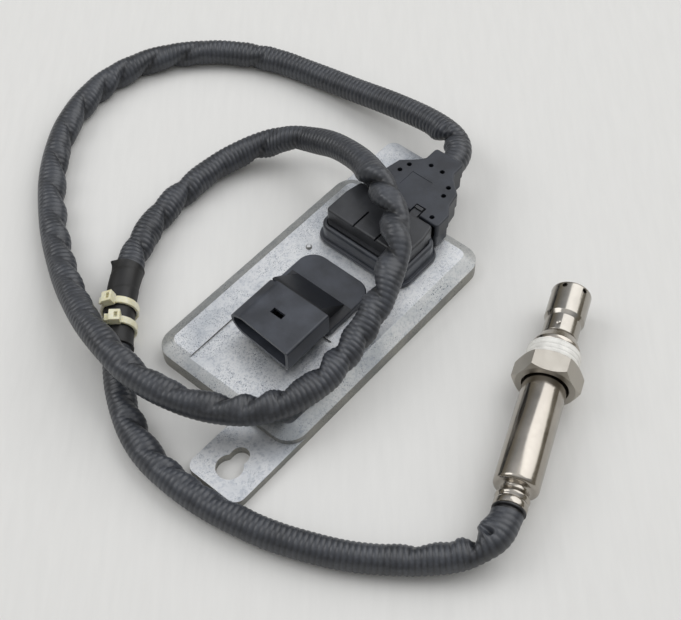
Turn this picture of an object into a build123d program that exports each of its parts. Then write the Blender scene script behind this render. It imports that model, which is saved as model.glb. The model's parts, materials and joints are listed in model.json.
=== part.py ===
from build123d import *
import os
from math import cos, pi, radians, sin, tan

# Nitrogen oxide sensor: a flat control unit, its cable and its screw-in probe, in millimetres.
# The origin is the centre of the control unit's underside, +X along its long axis towards the
# cable outlet, +Z up. The probe lies on the same surface as the control unit.

# Clearances shared by every fit
touch_gap = 0.02
close_gap = 0.1
free_gap = 0.3

# How far joined shapes run into each other, and how far cuts run past a face
overlap = 0.5
margin = 1.0

# Control unit casting
housing_length = 112.0
housing_width = 68.4
housing_height = 9.5
housing_corner = 8.0
bevel_width = 5.0
bevel_drop = 3.3
side_wall = 2.5
top_wall = 2.0
bevel_wall = 1.6
tab_reach = 27.8
tab_width = 24.6
tab_thickness = 3.8
tab_corner = 4.0
keyhole_inset = 9.7
keyhole_side_inset = 12.4
keyhole_radius = 5.0
keyhole_slot_radius = 3.3
keyhole_slot_reach = 5.9
keyhole_slot_offset = 0.25
label_recess_depth = 0.8
label_recess_end_x = -14.0
label_recess_y = (-16.8, 18.4)
nub_place = (14.3, 19.2)
nub_radius = 1.2
nub_height = 1.2

# Base plate, its seal and the circuit board
plate_edge = 1.2
plate_fit_gap = 0.2
plate_thickness = 1.5
plate_seal_thickness = 0.4
board_thickness = 1.6
board_edge_gap = 2.6
boss_height = 2.3
boss_radius = 2.8
boss_inset = (10.0, 10.5)
screw_hole_radius = 1.25
screw_hole_extra = 0.8
screw_head_radius = 2.2
screw_head_height = 1.0
screw_head_edge = 0.4
screw_cross = (0.6, 2.4)
processor_size = (14.0, 14.0, 1.4)
processor_place = (-26.0, 8.0)
processor_edge = 0.6
driver_size = (9.0, 6.4, 1.3)
driver_places = ((-26.0, -15.0), (-6.0, -20.0), (14.0, -20.0), (14.0, 18.0))
driver_edge = 0.3
block_capacitor_size = (7.3, 4.3, 1.9)
block_capacitor_places = ((-38.0, -12.0), (-38.0, -4.0), (-38.0, 4.0), (-24.0, 22.0))
block_capacitor_edge = 0.3
chip_capacitor_size = (2.0, 1.25, 0.9)
chip_capacitor_row = 7
chip_capacitor_pitch = 4.0
chip_capacitor_start = (-30.0, -24.0)
chip_capacitor_edge = 0.15

# Line that both connectors are centred on, and the gaskets under them
connector_y = -0.5
gasket_thickness = 0.4
gasket_inset = 0.5
blade_width = 1.5
blade_thickness = 0.8
tail_reach = 0.7
moulded_chamfer = 0.4

# Vehicle side connector
pad_x = (-13.5, 12.8)
pad_y = (-14.6, 16.6)
pad_height = 2.6
pad_far_corner = 7.0
pad_near_corner = 2.0
pad_pocket_reach = 7.3
pad_pocket_depth = 2.0
pad_pocket_half_width = 11.2
pad_pocket_offset = 1.7
neck_reach = 6.5
neck_height = 8.0
neck_half_width = 13.0
neck_chamfer = 2.0
shroud_length = 22.2
shroud_lap = 0.2
shroud_half_width = 14.45
shroud_low_z = 13.4
shroud_height = 10.0
shroud_key_cut = 4.9
shroud_key_rise = 4.2
shroud_key_drop = 3.0
shroud_key_shrink = 0.4
shroud_edge_radius = 0.6
shroud_wall = 1.6
shroud_back_wall = 2.2
shroud_window = (2.5, 5.4)
shroud_window_inset = 10.0
vehicle_pin_pitch = 5.5
vehicle_pin_count = 4
vehicle_pin_z = 18.4
vehicle_pin_reach = 11.5
vehicle_leg_x = -8.5
vehicle_tongue = (6.0, 21.0)

# Sensor side socket and the plug in it
socket_x = 32.0
flange_size = (25.0, 43.6)
flange_height = 1.5
flange_corner = 6.0
shell_size = (23.0, 40.8)
shell_height = 8.3
shell_corner = 5.0
shell_wall = 1.6
shell_edge_radius = 1.4
socket_floor = 3.0
sensor_pin_pitch = 3.5
sensor_pin_count = 8
sensor_pin_stagger = 3.5
sensor_pin_height = 7.2
sensor_tongue = (12.0, 29.5)
tongue_depth = 2.7
plug_x = (23.8, 43.0)
plug_half_width = 18.9
plug_top_z = 24.5
plug_rear_cut = (7.2, 1.3)
plug_corner_radius = 1.6
plug_edge_radius = 0.9
plug_bottom_gap = 0.4
plug_seal_rise = 1.1
plug_seal_height = 2.0
plug_seal_depth = 0.8
latch_slot_offset = 5.3
latch_slot_length = 9.2
latch_slot_width = 0.8
latch_slot_depth = 1.2
chamber_z = (17.6, 22.6)
chamber_x = (26.5, 41.0)
chamber_half_width = 14.0
channel_low_z = 19.2
channel_height = 2.0
plug_neck_reach = 3.6
plug_neck_front = 1.8
plug_neck_half_width = 15.2
plug_neck_low_z = 12.4
hook_reach = 5.2
hook_width = 3.4
hook_offset = 7.6
hook_thickness = 1.2
hook_nose = (1.4, 0.6)
terminal_size = 2.4
terminal_wall = 0.35
wire_seal_inset = (0.4, 0.2)
lead_radius = 0.75
lead_spread_reach = 2.0
lead_gather_reach = 6.0
lead_bends = (1.2, 6.0, 6.0)
lead_bundle_radius = 2.4

# Backshell over the leads, in two halves
backshell_front_x = 44.6
backshell_top_z = 23.2
backshell_low_z = 10.0
backshell_split_z = 16.7
backshell_wall = 1.3
backshell_inset = 0.6
backshell_corner = 1.4
backshell_edge_radius = 0.7
outlet_half_width = 6.9
outlet_length = 6.6
outlet_depth = 3.0
throat_flare = (1.0, 0.4)
throat_overlap = 2.0
backshell_shape = ((0.0, 18.7), (7.4, 18.5), (11.6, 15.6), (18.0, 14.4), (23.0, 8.8))
backshell_hole_radius = 1.0
backshell_holes = ((2.6, 14.0), (13.9, 10.8), (18.4, 9.7), (23.4, 2.75))
backshell_notch = (4.4, 4.6, 1.8)
backshell_field = (8.0, 9.8, 0.2)
backshell_field_start = 8.4
backshell_field_offset = 1.4

# Cable: ribbed conduit from the backshell to the probe, 0.92 m long
conduit_radius = 5.3
lead_throat_radius = 4.2
route = [
    (73.8, -0.5, 16.5), (81.5, -0.5, 16.5), (88.4, 3.2, 16.4), (92.6, 10.6, 15.8),
    (94.2, 21.5, 14.4), (95.0, 37.0, 11.8), (94.2, 56.0, 8.4), (92.0, 81.0, 5.6),
    (87.0, 106.0, 5.4), (74.0, 129.0, 5.4), (54.0, 145.5, 5.4), (30.0, 151.5, 5.4),
    (6.0, 147.0, 5.4), (-17.0, 133.0, 5.4), (-36.0, 113.0, 5.4), (-51.5, 90.6, 7.0),
    (-64.3, 65.9, 13.6), (-72.4, 42.2, 19.8), (-75.5, 19.0, 19.2), (-69.0, -4.0, 17.4),
    (-56.0, -22.0, 16.6), (-36.0, -29.5, 16.6), (-14.0, -28.0, 18.8), (7.6, -24.8, 26.0),
    (25.2, -16.7, 33.5), (39.2, 1.3, 34.1), (49.1, 23.2, 29.2), (53.5, 46.6, 20.0),
    (48.6, 65.8, 11.6), (34.0, 77.0, 6.6), (12.0, 80.0, 5.4), (-13.0, 78.0, 5.6),
    (-37.6, 67.0, 7.6), (-59.2, 49.4, 7.9), (-77.5, 31.0, 5.4), (-90.3, 7.0, 5.4),
    (-91.7, -20.2, 5.4), (-86.6, -47.2, 5.4), (-77.0, -71.0, 5.4), (-66.0, -88.0, 5.5),
    (-54.5, -101.5, 6.9), (-45.5, -110.0, 9.8), (-38.3, -111.366, 11.0), (-30.653, -108.275, 11.0),
]
tape_from = 0.7605
tape_to = 0.79
tape_thickness = 0.8
tie_stations = (0.771, 0.783)
tie_width = 3.4
tie_thickness = 1.1
tie_head = (5.4, 4.2, 3.6)
tie_head_lift = 0.2
tie_head_edge = 0.7
tie_tail = (1.1, 1.6)
tie_tail_lift = 1.5
tie_head_turns = (23.0, 12.0)

# Probe, turned about an axis that lies at the height of its hexagon's flats
hexagon_across_flats = 22.0
probe_origin = (-27.5, -107.0)
probe_turn = 22.0
grommet_radius = 5.75
grommet_start = -3.4
neck_start = -1.2
neck_end = 6.4
neck_radius = 5.7
neck_wall = 0.9
neck_groove_radius = 5.4
neck_grooves = (0.4, 3.9)
neck_groove_width = 1.2
neck_groove_floor = 0.4
sleeve_radius = 8.1
sleeve_wall = 0.6
sleeve_shoulder = (7.2, 6.8)
sleeve_start = 8.3
sleeve_end = 58.0
nut_start = 50.0
hexagon_length = 8.5
hexagon_chamfers = (1.3, 1.2)
nut_end = 66.0
nut_thread_radius = 9.6
nut_tip_chamfer = 0.6
nut_running_gap = 0.1
nut_recess_radius = 8.7
nut_recess_depth = 3.0
coating_radius = 10.0
coating_margin = 0.5
coating_chamfer = 0.25
flange_stations = (66.1, 67.6, 71.0)
flange_radii = (8.6, 8.8, 7.2)
band_start = 71.8
band_end = 79.1
band_radius = 6.7
band_edge_radius = 0.3
nose_radius = 6.1
nose_inset = 0.6
body_bore_radius = 5.0
body_step_radius = 3.9
body_start = 44.0
body_step_start = 70.0
tip_start = 80.8
tip_end = 94.1
tip_radius = 7.5
tip_wall = 0.6
tip_edge_radius = 1.0
tip_step = (0.4, 0.3)
gas_hole_radius = 0.95
gas_hole_station = 92.0
gas_hole_count = 6
gas_hole_turn = 36.0
dimple_radius = 1.5
dimple_station = 74.6
dimple_depth = 0.3
dimple_turn = -12.0
inner_tube_radius = 5.3
inner_tube_wall = 0.5
inner_tube_end = 90.6
inner_tube_vent = 1.0
inner_hole_reach = 3.0
inner_hole_radius = 0.7
element_size = (1.4, 4.0)
element_start = 26.0
element_end = 88.5
holder_start = 24.0
holder_end = 43.4
holder_chamfer = 0.8
probe_lead_count = 6
probe_lead_circle = 3.0
rear_insulator_end = 54.0
powder_end = 60.0
terminal_strip = (0.4, 0.8, 14.0)
terminal_strip_pitch = 1.3
terminal_strip_inset = 0.5

# Values that follow from those above
top_z = housing_height
ceiling_z = housing_height - top_wall
board_top_z = ceiling_z - boss_height
board_low_z = board_top_z - board_thickness
ledge_z = plate_thickness + plate_seal_thickness
cavity_size = (housing_length - 2 * side_wall, housing_width - 2 * side_wall)
cavity_corner = housing_corner - side_wall
tab_end_x = housing_length / 2 + tab_reach
keyhole_x = tab_end_x - keyhole_inset
keyhole_y = housing_width / 2 - keyhole_side_inset
seat_z = top_z + gasket_thickness
pad_top_z = seat_z + pad_height
shroud_x = (pad_x[0] - shroud_length + shroud_lap, pad_x[0] + shroud_lap)
shroud_top_z = shroud_low_z + shroud_height
floor_z = seat_z + socket_floor
shell_top_z = seat_z + shell_height
plug_neck_top_z = backshell_top_z - backshell_wall - close_gap
shell_inner = (shell_size[0] - 2 * shell_wall, shell_size[1] - 2 * shell_wall)
shell_inner_corner = shell_corner - shell_wall
sensor_pin_top_z = seat_z + sensor_pin_height
outlet_end_x = route[0][0] + outlet_depth
outlet_z = route[0][2]
probe_axis_z = hexagon_across_flats / 2
neck_inner_radius = neck_radius - neck_wall
nose_end = tip_start - nose_inset


def block(x, y, z):
    """Box between three pairs of limits."""
    size = (x[1] - x[0], y[1] - y[0], z[1] - z[0])
    middle = ((x[0] + x[1]) / 2, (y[0] + y[1]) / 2, (z[0] + z[1]) / 2)
    return Pos(*middle) * Box(*size)


def slab(size, corner, low, high, centre=(0.0, 0.0)):
    """Upright plate with rounded corners between two heights."""
    outline = RectangleRounded(size[0], size[1], corner)
    return Pos(centre[0], centre[1], low) * extrude(outline, high - low)


def post(x, y, radius, low, high):
    """Upright cylinder between two heights."""
    return Pos(x, y, (low + high) / 2) * Cylinder(radius, high - low)


def frustum(size, corner, low, high, narrowing):
    """Plate whose outline shrinks evenly from its lower to its upper height."""
    small = (size[0] - 2 * narrowing, size[1] - 2 * narrowing)
    foot = Pos(0, 0, low) * RectangleRounded(size[0], size[1], corner)
    head = Pos(0, 0, high) * RectangleRounded(small[0], small[1], corner - narrowing)
    return loft([foot.face(), head.face()], ruled=True)


def mirrored(points):
    """Closed outline from (x, half width) points about the connectors' line."""
    upper = [(x, connector_y + half) for x, half in points]
    lower = [(x, connector_y - half) for x, half in reversed(points)]
    return make_face(Polyline(*upper, *lower, close=True))


def on_probe(shape):
    """Carry a piece built along +Z from the origin to the probe's own axis."""
    turn = radians(probe_turn)
    frame = Plane(
        origin=(probe_origin[0], probe_origin[1], probe_axis_z),
        x_dir=(0, 0, 1),
        z_dir=(cos(turn), sin(turn), 0),
    )
    return frame.location * shape


def turned(*profile):
    """Solid of revolution from (radius, station) points."""
    outline = make_face(Polyline(*[(radius, 0, station) for radius, station in profile], close=True))
    return revolve(outline, Axis.Z)


def ring(outer, inner, start, end):
    """Plain tube along the probe's axis."""
    return turned((inner, start), (outer, start), (outer, end), (inner, end))


def bar(radius, start, end):
    """Plain round bar along the probe's axis."""
    return turned((0, start), (radius, start), (radius, end), (0, end))


# Casting

def make_tabs():
    """Two mounting tabs at opposite corners, the near one with a keyhole, the far one with a hole."""
    width = (housing_width / 2 - tab_width, housing_width / 2)
    tab = block((0, tab_end_x), width, (0, tab_thickness))
    corners = tab.edges().filter_by(Axis.Z).group_by(Axis.X)[-1]
    tab = fillet(corners, tab_corner)
    cut = (-margin, tab_thickness + margin)
    far = tab - post(keyhole_x, keyhole_y, keyhole_slot_radius, *cut)
    near = Rot(0, 0, 180) * tab
    slot_x = (-keyhole_x, -keyhole_x + keyhole_slot_reach)
    slot_y = -keyhole_y + keyhole_slot_offset
    near -= post(-keyhole_x, -keyhole_y, keyhole_radius, *cut)
    near -= block(slot_x, (slot_y - keyhole_slot_radius, slot_y + keyhole_slot_radius), cut)
    near -= post(slot_x[1], slot_y, keyhole_slot_radius, *cut)
    return far + near


def boss_places():
    """Centres of the four bosses that carry the circuit board."""
    x = housing_length / 2 - boss_inset[0]
    y = housing_width / 2 - boss_inset[1]
    return [(sx * x, sy * y) for sx in (-1, 1) for sy in (-1, 1)]


def make_housing():
    """Cast lid with bevelled top edge, label recess, connector windows and board bosses."""
    size = (housing_length, housing_width)
    shoulder_z = housing_height - bevel_drop
    body = slab(size, housing_corner, 0, shoulder_z)
    body += frustum(size, housing_corner, shoulder_z, housing_height, bevel_width)
    body += make_tabs()
    shrink = bevel_width * (bevel_wall / bevel_drop)
    inner_shoulder_z = ceiling_z - shrink * bevel_drop / bevel_width
    body -= slab(cavity_size, cavity_corner, 0, inner_shoulder_z)
    body -= frustum(cavity_size, cavity_corner, inner_shoulder_z, ceiling_z, shrink)
    recess = (housing_length - 2 * plate_edge, housing_width - 2 * plate_edge)
    body -= slab(recess, housing_corner - plate_edge, 0, ledge_z)
    label = (-housing_length / 2 - margin, label_recess_end_x)
    body -= block(label, label_recess_y, (top_z - label_recess_depth, top_z + margin))
    for x, y in boss_places():
        body += post(x, y, boss_radius, board_top_z, ceiling_z + overlap)
        body -= post(x, y, screw_hole_radius, board_top_z, ceiling_z + screw_hole_extra)
    body -= tongue(vehicle_leg_x, vehicle_tongue, free_gap, ceiling_z - margin, top_z + margin)
    body -= tongue(socket_x, sensor_tongue, free_gap, ceiling_z - margin, top_z + margin)
    nub = post(nub_place[0], nub_place[1], nub_radius, top_z, top_z + nub_height)
    nub = fillet(nub.edges().group_by(Axis.Z)[-1], 0.7 * nub_radius)
    return body + nub


def tongue(centre_x, size, clearance, low, high):
    """Rectangular column that passes through a connector's window in the lid."""
    half_x = size[0] / 2 + clearance
    half_y = size[1] / 2 + clearance
    x = (centre_x - half_x, centre_x + half_x)
    y = (connector_y - half_y, connector_y + half_y)
    return block(x, y, (low, high))


def make_base_plate():
    """Flat plate that closes the casting from below."""
    inset = plate_edge + plate_fit_gap
    size = (housing_length - 2 * inset, housing_width - 2 * inset)
    return slab(size, housing_corner - inset, 0, plate_thickness)


def make_base_seal():
    """Bead of sealant between the plate and the casting's ledge."""
    inset = plate_edge + plate_fit_gap
    size = (housing_length - 2 * inset, housing_width - 2 * inset)
    seal = slab(size, housing_corner - inset, plate_thickness, ledge_z)
    return seal - slab(cavity_size, cavity_corner, 0, ledge_z + margin)


# Electronics

def vehicle_pin_rows():
    """Y of each blade of the vehicle connector."""
    middle = (vehicle_pin_count - 1) / 2
    return [connector_y + (i - middle) * vehicle_pin_pitch for i in range(vehicle_pin_count)]


def sensor_pin_places():
    """X and Y of each blade of the sensor socket, in two staggered rows."""
    middle = (sensor_pin_count - 1) / 2
    places = []
    for i in range(sensor_pin_count):
        side = -1 if i % 2 == 0 else 1
        y = connector_y + (i - middle) * sensor_pin_pitch
        places.append((socket_x + side * sensor_pin_stagger, y))
    return places


def make_circuit_board():
    """Board hung on the casting's bosses, with a hole for each screw and pin tail."""
    size = (cavity_size[0] - 2 * board_edge_gap, cavity_size[1] - 2 * board_edge_gap)
    board = slab(size, cavity_corner - board_edge_gap, board_low_z, board_top_z)
    cut = (board_low_z - margin, board_top_z + margin)
    for x, y in boss_places():
        board -= post(x, y, screw_hole_radius, *cut)
    half = blade_thickness / 2 + touch_gap
    tails = [(vehicle_leg_x, y) for y in vehicle_pin_rows()] + sensor_pin_places()
    for x, y in tails:
        board -= block((x - half, x + half), (y - half, y + half), cut)
    return board


def make_board_screws():
    """Four pan head screws driven up through the board into the bosses."""
    shank_top = ceiling_z + screw_hole_extra - close_gap
    screws = []
    head_low = board_low_z - screw_head_height
    for x, y in boss_places():
        head = post(x, y, screw_head_radius, head_low, board_low_z)
        head = fillet(head.edges().group_by(Axis.Z)[0], screw_head_edge)
        head -= Pos(x, y, head_low) * Box(screw_cross[0], screw_cross[1], screw_head_height)
        head -= Pos(x, y, head_low) * Box(screw_cross[1], screw_cross[0], screw_head_height)
        shank = post(x, y, screw_hole_radius - close_gap, board_low_z - close_gap, shank_top)
        screws.append(head + shank)
    return Compound(children=[screw.solid() for screw in screws])


def chips(size, places, low, edge):
    """Separate rectangular packages standing on one level."""
    packages = []
    for x, y in places:
        package = Pos(x, y, low + size[2] / 2) * Box(*size)
        packages.append(chamfer(package.edges().filter_by(Axis.Z), edge).solid())
    return packages[0] if len(packages) == 1 else Compound(children=packages)


def make_processor():
    """Square controller package under the board."""
    return chips(processor_size, [processor_place], board_low_z - processor_size[2], processor_edge)


def make_drivers():
    """Four smaller packages under the board."""
    return chips(driver_size, driver_places, board_low_z - driver_size[2], driver_edge)


def make_block_capacitors():
    """Block capacitors on the board's upper side."""
    return chips(block_capacitor_size, block_capacitor_places, board_top_z, block_capacitor_edge)


def make_chip_capacitors():
    """Row of small chip capacitors on the board's upper side."""
    x, y = chip_capacitor_start
    places = [(x + i * chip_capacitor_pitch, y) for i in range(chip_capacitor_row)]
    return chips(chip_capacitor_size, places, board_top_z, chip_capacitor_edge)


# Vehicle side connector

def make_vehicle_pins():
    """Four right angle blades from the shroud down to the board."""
    tip_x = shroud_x[1] - shroud_back_wall - vehicle_pin_reach
    half = blade_thickness / 2
    pins = []
    for y in vehicle_pin_rows():
        width = (y - blade_width / 2, y + blade_width / 2)
        rail = block((tip_x, vehicle_leg_x + half), width, (vehicle_pin_z - half, vehicle_pin_z + half))
        tip = rail.edges().filter_by(Axis.Y).group_by(Axis.X)[0]
        rail = chamfer(tip, 0.3 * blade_thickness)
        leg = block((vehicle_leg_x - half, vehicle_leg_x + half), width,
                    (board_top_z + free_gap, vehicle_pin_z + half))
        tail = block((vehicle_leg_x - half, vehicle_leg_x + half), (y - half, y + half),
                     (board_low_z - tail_reach, board_top_z + 2 * free_gap))
        pins.append((rail + leg + tail).solid())
    return Compound(children=pins)


def shroud_outline(inset):
    """Section of the vehicle shroud: square on one side, keyed corners on the other."""
    left = connector_y - shroud_half_width + inset
    right = connector_y + shroud_half_width - inset
    low = shroud_low_z + inset
    high = shroud_top_z - inset
    shrink = shroud_key_shrink * inset
    cut = shroud_key_cut - shrink
    rise = shroud_key_rise - shrink
    drop = shroud_key_drop - shrink
    points = [(left, low), (right - cut, low), (right, low + rise), (right, high - drop),
              (right - cut, high), (left, high)]
    return make_face(Plane.YZ * Polyline(*points, close=True))


def make_vehicle_connector(pins):
    """Mounting pad, neck and open shroud moulded as one, around the blades."""
    pad = block(pad_x, pad_y, (seat_z, pad_top_z))
    upright = pad.edges().filter_by(Axis.Z).group_by(Axis.X)
    pad = fillet(upright[-1], pad_far_corner)
    pad = fillet(pad.edges().filter_by(Axis.Z).group_by(Axis.X)[0], pad_near_corner)
    neck_x = (pad_x[0], pad_x[0] + neck_reach)
    neck_y = (connector_y - neck_half_width, connector_y + neck_half_width)
    pocket_x = (neck_x[1], neck_x[1] + pad_pocket_reach)
    pocket_middle = connector_y + pad_pocket_offset
    pocket_y = (pocket_middle - pad_pocket_half_width, pocket_middle + pad_pocket_half_width)
    pad -= block(pocket_x, pocket_y, (pad_top_z - pad_pocket_depth, pad_top_z + margin))
    pad = chamfer(pad.faces().sort_by(Axis.Z)[-1].outer_wire().edges(), moulded_chamfer)
    neck = block(neck_x, neck_y, (seat_z + overlap, pad_top_z + neck_height))
    rear_top = neck.edges().filter_by(Axis.Y).group_by(Axis.Z)[-1].sort_by(Axis.X)[-1]
    neck = chamfer(rear_top, neck_chamfer)
    shroud = Pos(shroud_x[0], 0, 0) * extrude(shroud_outline(0), shroud_length)
    shroud = fillet(shroud.edges().filter_by(Axis.X), shroud_edge_radius)
    hollow_length = shroud_length - shroud_back_wall
    shroud -= Pos(shroud_x[0], 0, 0) * extrude(shroud_outline(shroud_wall), hollow_length)
    window_x = (shroud_x[0] + shroud_window_inset, shroud_x[0] + shroud_window_inset + shroud_window[0])
    window_y = (connector_y - shroud_window[1] / 2, connector_y + shroud_window[1] / 2)
    shroud -= block(window_x, window_y, (shroud_top_z - shroud_wall - overlap, shroud_top_z + margin))
    column = tongue(vehicle_leg_x, vehicle_tongue, 0, top_z - tongue_depth, seat_z + overlap)
    return pad + neck + shroud + column - pins


def make_vehicle_gasket():
    """Flat gasket between the vehicle connector's pad and the lid."""
    x = (pad_x[0] + gasket_inset, pad_x[1] - gasket_inset)
    y = (pad_y[0] + gasket_inset, pad_y[1] - gasket_inset)
    gasket = block(x, y, (top_z, seat_z))
    gasket = fillet(gasket.edges().filter_by(Axis.Z).group_by(Axis.X)[-1], pad_far_corner - gasket_inset)
    return gasket - tongue(vehicle_leg_x, vehicle_tongue, 2 * free_gap, top_z - margin, seat_z + margin)


# Sensor side socket and plug

def make_sensor_pins():
    """Eight upright blades from the board into the socket."""
    half = blade_thickness / 2
    pins = []
    for x, y in sensor_pin_places():
        blade = block((x - half, x + half), (y - blade_width / 2, y + blade_width / 2),
                      (board_top_z + free_gap, sensor_pin_top_z))
        blade = chamfer(blade.edges().filter_by(Axis.Y).group_by(Axis.Z)[-1], 0.3 * blade_thickness)
        tail = block((x - half, x + half), (y - half, y + half),
                     (board_low_z - tail_reach, board_top_z + 2 * free_gap))
        pins.append((blade + tail).solid())
    return Compound(children=pins)


def make_sensor_socket(pins):
    """Flanged open shell that the plug stands in, moulded around the blades."""
    centre = (socket_x, connector_y)
    flange = slab(flange_size, flange_corner, seat_z, seat_z + flange_height, centre)
    flange = chamfer(flange.edges().group_by(Axis.Z)[-1], moulded_chamfer)
    shell = slab(shell_size, shell_corner, seat_z, shell_top_z, centre)
    shell = fillet(shell.edges().group_by(Axis.Z)[-1], shell_edge_radius)
    body = flange + shell
    body -= slab(shell_inner, shell_inner_corner, floor_z, shell_top_z + margin, centre)
    body += tongue(socket_x, sensor_tongue, 0, top_z - tongue_depth, seat_z + overlap)
    return body - pins


def make_sensor_gasket():
    """Flat gasket between the socket's flange and the lid."""
    centre = (socket_x, connector_y)
    size = (flange_size[0] - 2 * gasket_inset, flange_size[1] - 2 * gasket_inset)
    gasket = slab(size, flange_corner - gasket_inset, top_z, seat_z, centre)
    return gasket - tongue(socket_x, sensor_tongue, 2 * free_gap, top_z - margin, seat_z + margin)


def plug_core(inset, low, high):
    """Part of the plug that stands inside the shell, drawn in by an inset."""
    size = (shell_inner[0] - 2 * (free_gap + inset), shell_inner[1] - 2 * (free_gap + inset))
    return slab(size, shell_inner_corner - free_gap - inset, low, high, (socket_x, connector_y))


def channel_x():
    """Reach of the lead channel in the plug's neck."""
    return (chamber_x[1] - overlap, plug_x[1] + plug_neck_reach)


def make_plug_body():
    """Moulded plug: block over the shell, core inside it, rear neck and two hooks."""
    block_low = shell_top_z + free_gap
    half = plug_half_width
    outline = mirrored([(plug_x[0], half), (plug_x[1] - plug_rear_cut[0], half),
                        (plug_x[1], half - plug_rear_cut[1])])
    body = Pos(0, 0, block_low) * extrude(outline, plug_top_z - block_low)
    body = fillet(body.edges().filter_by(Axis.Z), plug_corner_radius)
    body = fillet(body.edges().group_by(Axis.Z)[-1], plug_edge_radius)
    core_low = floor_z + plug_bottom_gap
    body += plug_core(0, core_low, block_low + overlap)
    neck_x = (plug_x[1] - margin, plug_x[1] + plug_neck_reach)
    neck_y = (connector_y - plug_neck_half_width, connector_y + plug_neck_half_width)
    body += block(neck_x, neck_y, (block_low, plug_neck_top_z))
    front = (plug_x[1] + plug_neck_front, plug_x[1] + plug_neck_reach)
    body += block(front, neck_y, (plug_neck_low_z, plug_neck_top_z))
    groove = (core_low + plug_seal_rise, core_low + plug_seal_rise + plug_seal_height)
    body -= plug_core(-2, *groove) - plug_core(plug_seal_depth, *groove)
    width = (connector_y - chamber_half_width, connector_y + chamber_half_width)
    body -= block(chamber_x, width, chamber_z)
    body -= block(channel_x(), width, (channel_low_z, channel_low_z + channel_height))
    for x, y in sensor_pin_places():
        reach = terminal_size / 2 + close_gap
        shaft_z = (core_low - margin, chamber_z[0] + close_gap)
        body -= block((x - reach, x + reach), (y - reach, y + reach), shaft_z)
    for side in (-1, 1):
        y = connector_y + side * latch_slot_offset
        slot_x = (plug_x[0] - margin, plug_x[0] + latch_slot_length)
        slot_y = (y - latch_slot_width / 2, y + latch_slot_width / 2)
        body -= block(slot_x, slot_y, (plug_top_z - latch_slot_depth, plug_top_z + margin))
        body += make_hook(connector_y + side * hook_offset)
    return body


def make_hook(y):
    """Hook on the plug's rear that catches in a notch of the backshell."""
    width = (y - hook_width / 2, y + hook_width / 2)
    top = plug_neck_top_z + hook_thickness
    arm = block((plug_x[1] - margin, plug_x[1] + hook_reach), width, (plug_neck_top_z, top))
    nose_x = (plug_x[1] + hook_reach - hook_nose[0], plug_x[1] + hook_reach)
    return arm + block(nose_x, width, (plug_neck_top_z, top + hook_nose[1]))


def make_plug_seal():
    """Ring seal in the plug's groove, against the shell's wall."""
    low = floor_z + plug_bottom_gap + plug_seal_rise
    high = low + plug_seal_height
    outer = slab((shell_inner[0] - 2 * touch_gap, shell_inner[1] - 2 * touch_gap),
                 shell_inner_corner - touch_gap, low + touch_gap, high - touch_gap,
                 (socket_x, connector_y))
    return outer - plug_core(plug_seal_depth - touch_gap, low - margin, high + margin)


def make_plug_terminals():
    """Eight female terminals that receive the blades."""
    low = floor_z + plug_bottom_gap + free_gap
    top = chamber_z[0]
    terminals = []
    for x, y in sensor_pin_places():
        half = terminal_size / 2
        sleeve = block((x - half, x + half), (y - half, y + half), (low, top))
        gap_x = blade_thickness / 2 + close_gap
        gap_y = blade_width / 2 + close_gap
        sleeve -= block((x - gap_x, x + gap_x), (y - gap_y, y + gap_y), (low - margin, top - terminal_wall))
        terminals.append(sleeve.solid())
    return Compound(children=terminals)


def bundle_places():
    """Y and Z of each lead where the bundle enters the conduit, in the order of the terminals."""
    count = sensor_pin_count
    order = []
    for k in range(count):
        angle = radians(180 / count + 360 / count * k)
        order.append((lead_bundle_radius * cos(angle), lead_bundle_radius * sin(angle)))
    order.sort(key=lambda place: (round(place[0], 3), -place[1]))
    return [(connector_y + y, outlet_z + z) for y, z in order]


def make_wire_leads():
    """Eight insulated leads from the terminals to the mouth of the conduit."""
    level = channel_low_z + channel_height / 2
    spread_x = plug_x[1] + plug_neck_reach + lead_spread_reach
    gather_x = route[0][0] - lead_gather_reach
    leads = []
    for (x, y), (end_y, end_z) in zip(sensor_pin_places(), bundle_places()):
        points = [(x, y, chamber_z[0]), (x, y, level), (spread_x, y, level),
                  (gather_x, end_y, end_z), (route[0][0], end_y, end_z)]
        line = FilletPolyline(*points, radius=list(lead_bends))
        section = Plane(origin=points[0], z_dir=(0, 0, 1)) * Circle(lead_radius)
        leads.append(sweep(section, path=line).solid())
    return Compound(children=leads)


def make_wire_seal():
    """Rubber block that closes the plug's channel around the leads."""
    x = (plug_x[1] + wire_seal_inset[0], plug_x[1] + plug_neck_reach - wire_seal_inset[1])
    gap = touch_gap
    y = (connector_y - chamber_half_width + gap, connector_y + chamber_half_width - gap)
    seal = block(x, y, (channel_low_z + gap, channel_low_z + channel_height - gap))
    level = channel_low_z + channel_height / 2
    for _, lead_y in sensor_pin_places():
        hole = Pos((x[0] + x[1]) / 2, lead_y, level) * Rot(0, 90, 0)
        seal -= hole * Cylinder(lead_radius + touch_gap, 2 * (x[1] - x[0]))
    return seal


# Backshell

def backshell_outline(inset):
    """Plan of the backshell, drawn in by an inset, from its front edge to its outlet."""
    outlet_start = outlet_end_x - outlet_length
    points = [(backshell_front_x + station, half - inset) for station, half in backshell_shape]
    points += [(outlet_start, outlet_half_width - inset), (outlet_end_x, outlet_half_width - inset)]
    return mirrored(points)


def hollow_outline(extra):
    """Plan of the room inside the backshell, open to the front."""
    wall = backshell_wall + extra
    points = [(backshell_front_x + station, half - wall) for station, half in backshell_shape]
    points[0] = (backshell_front_x - margin, points[0][1])
    throat_x = outlet_end_x - outlet_length - throat_flare[0]
    points.append((throat_x, lead_throat_radius + throat_flare[1]))
    return mirrored(points)


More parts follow.
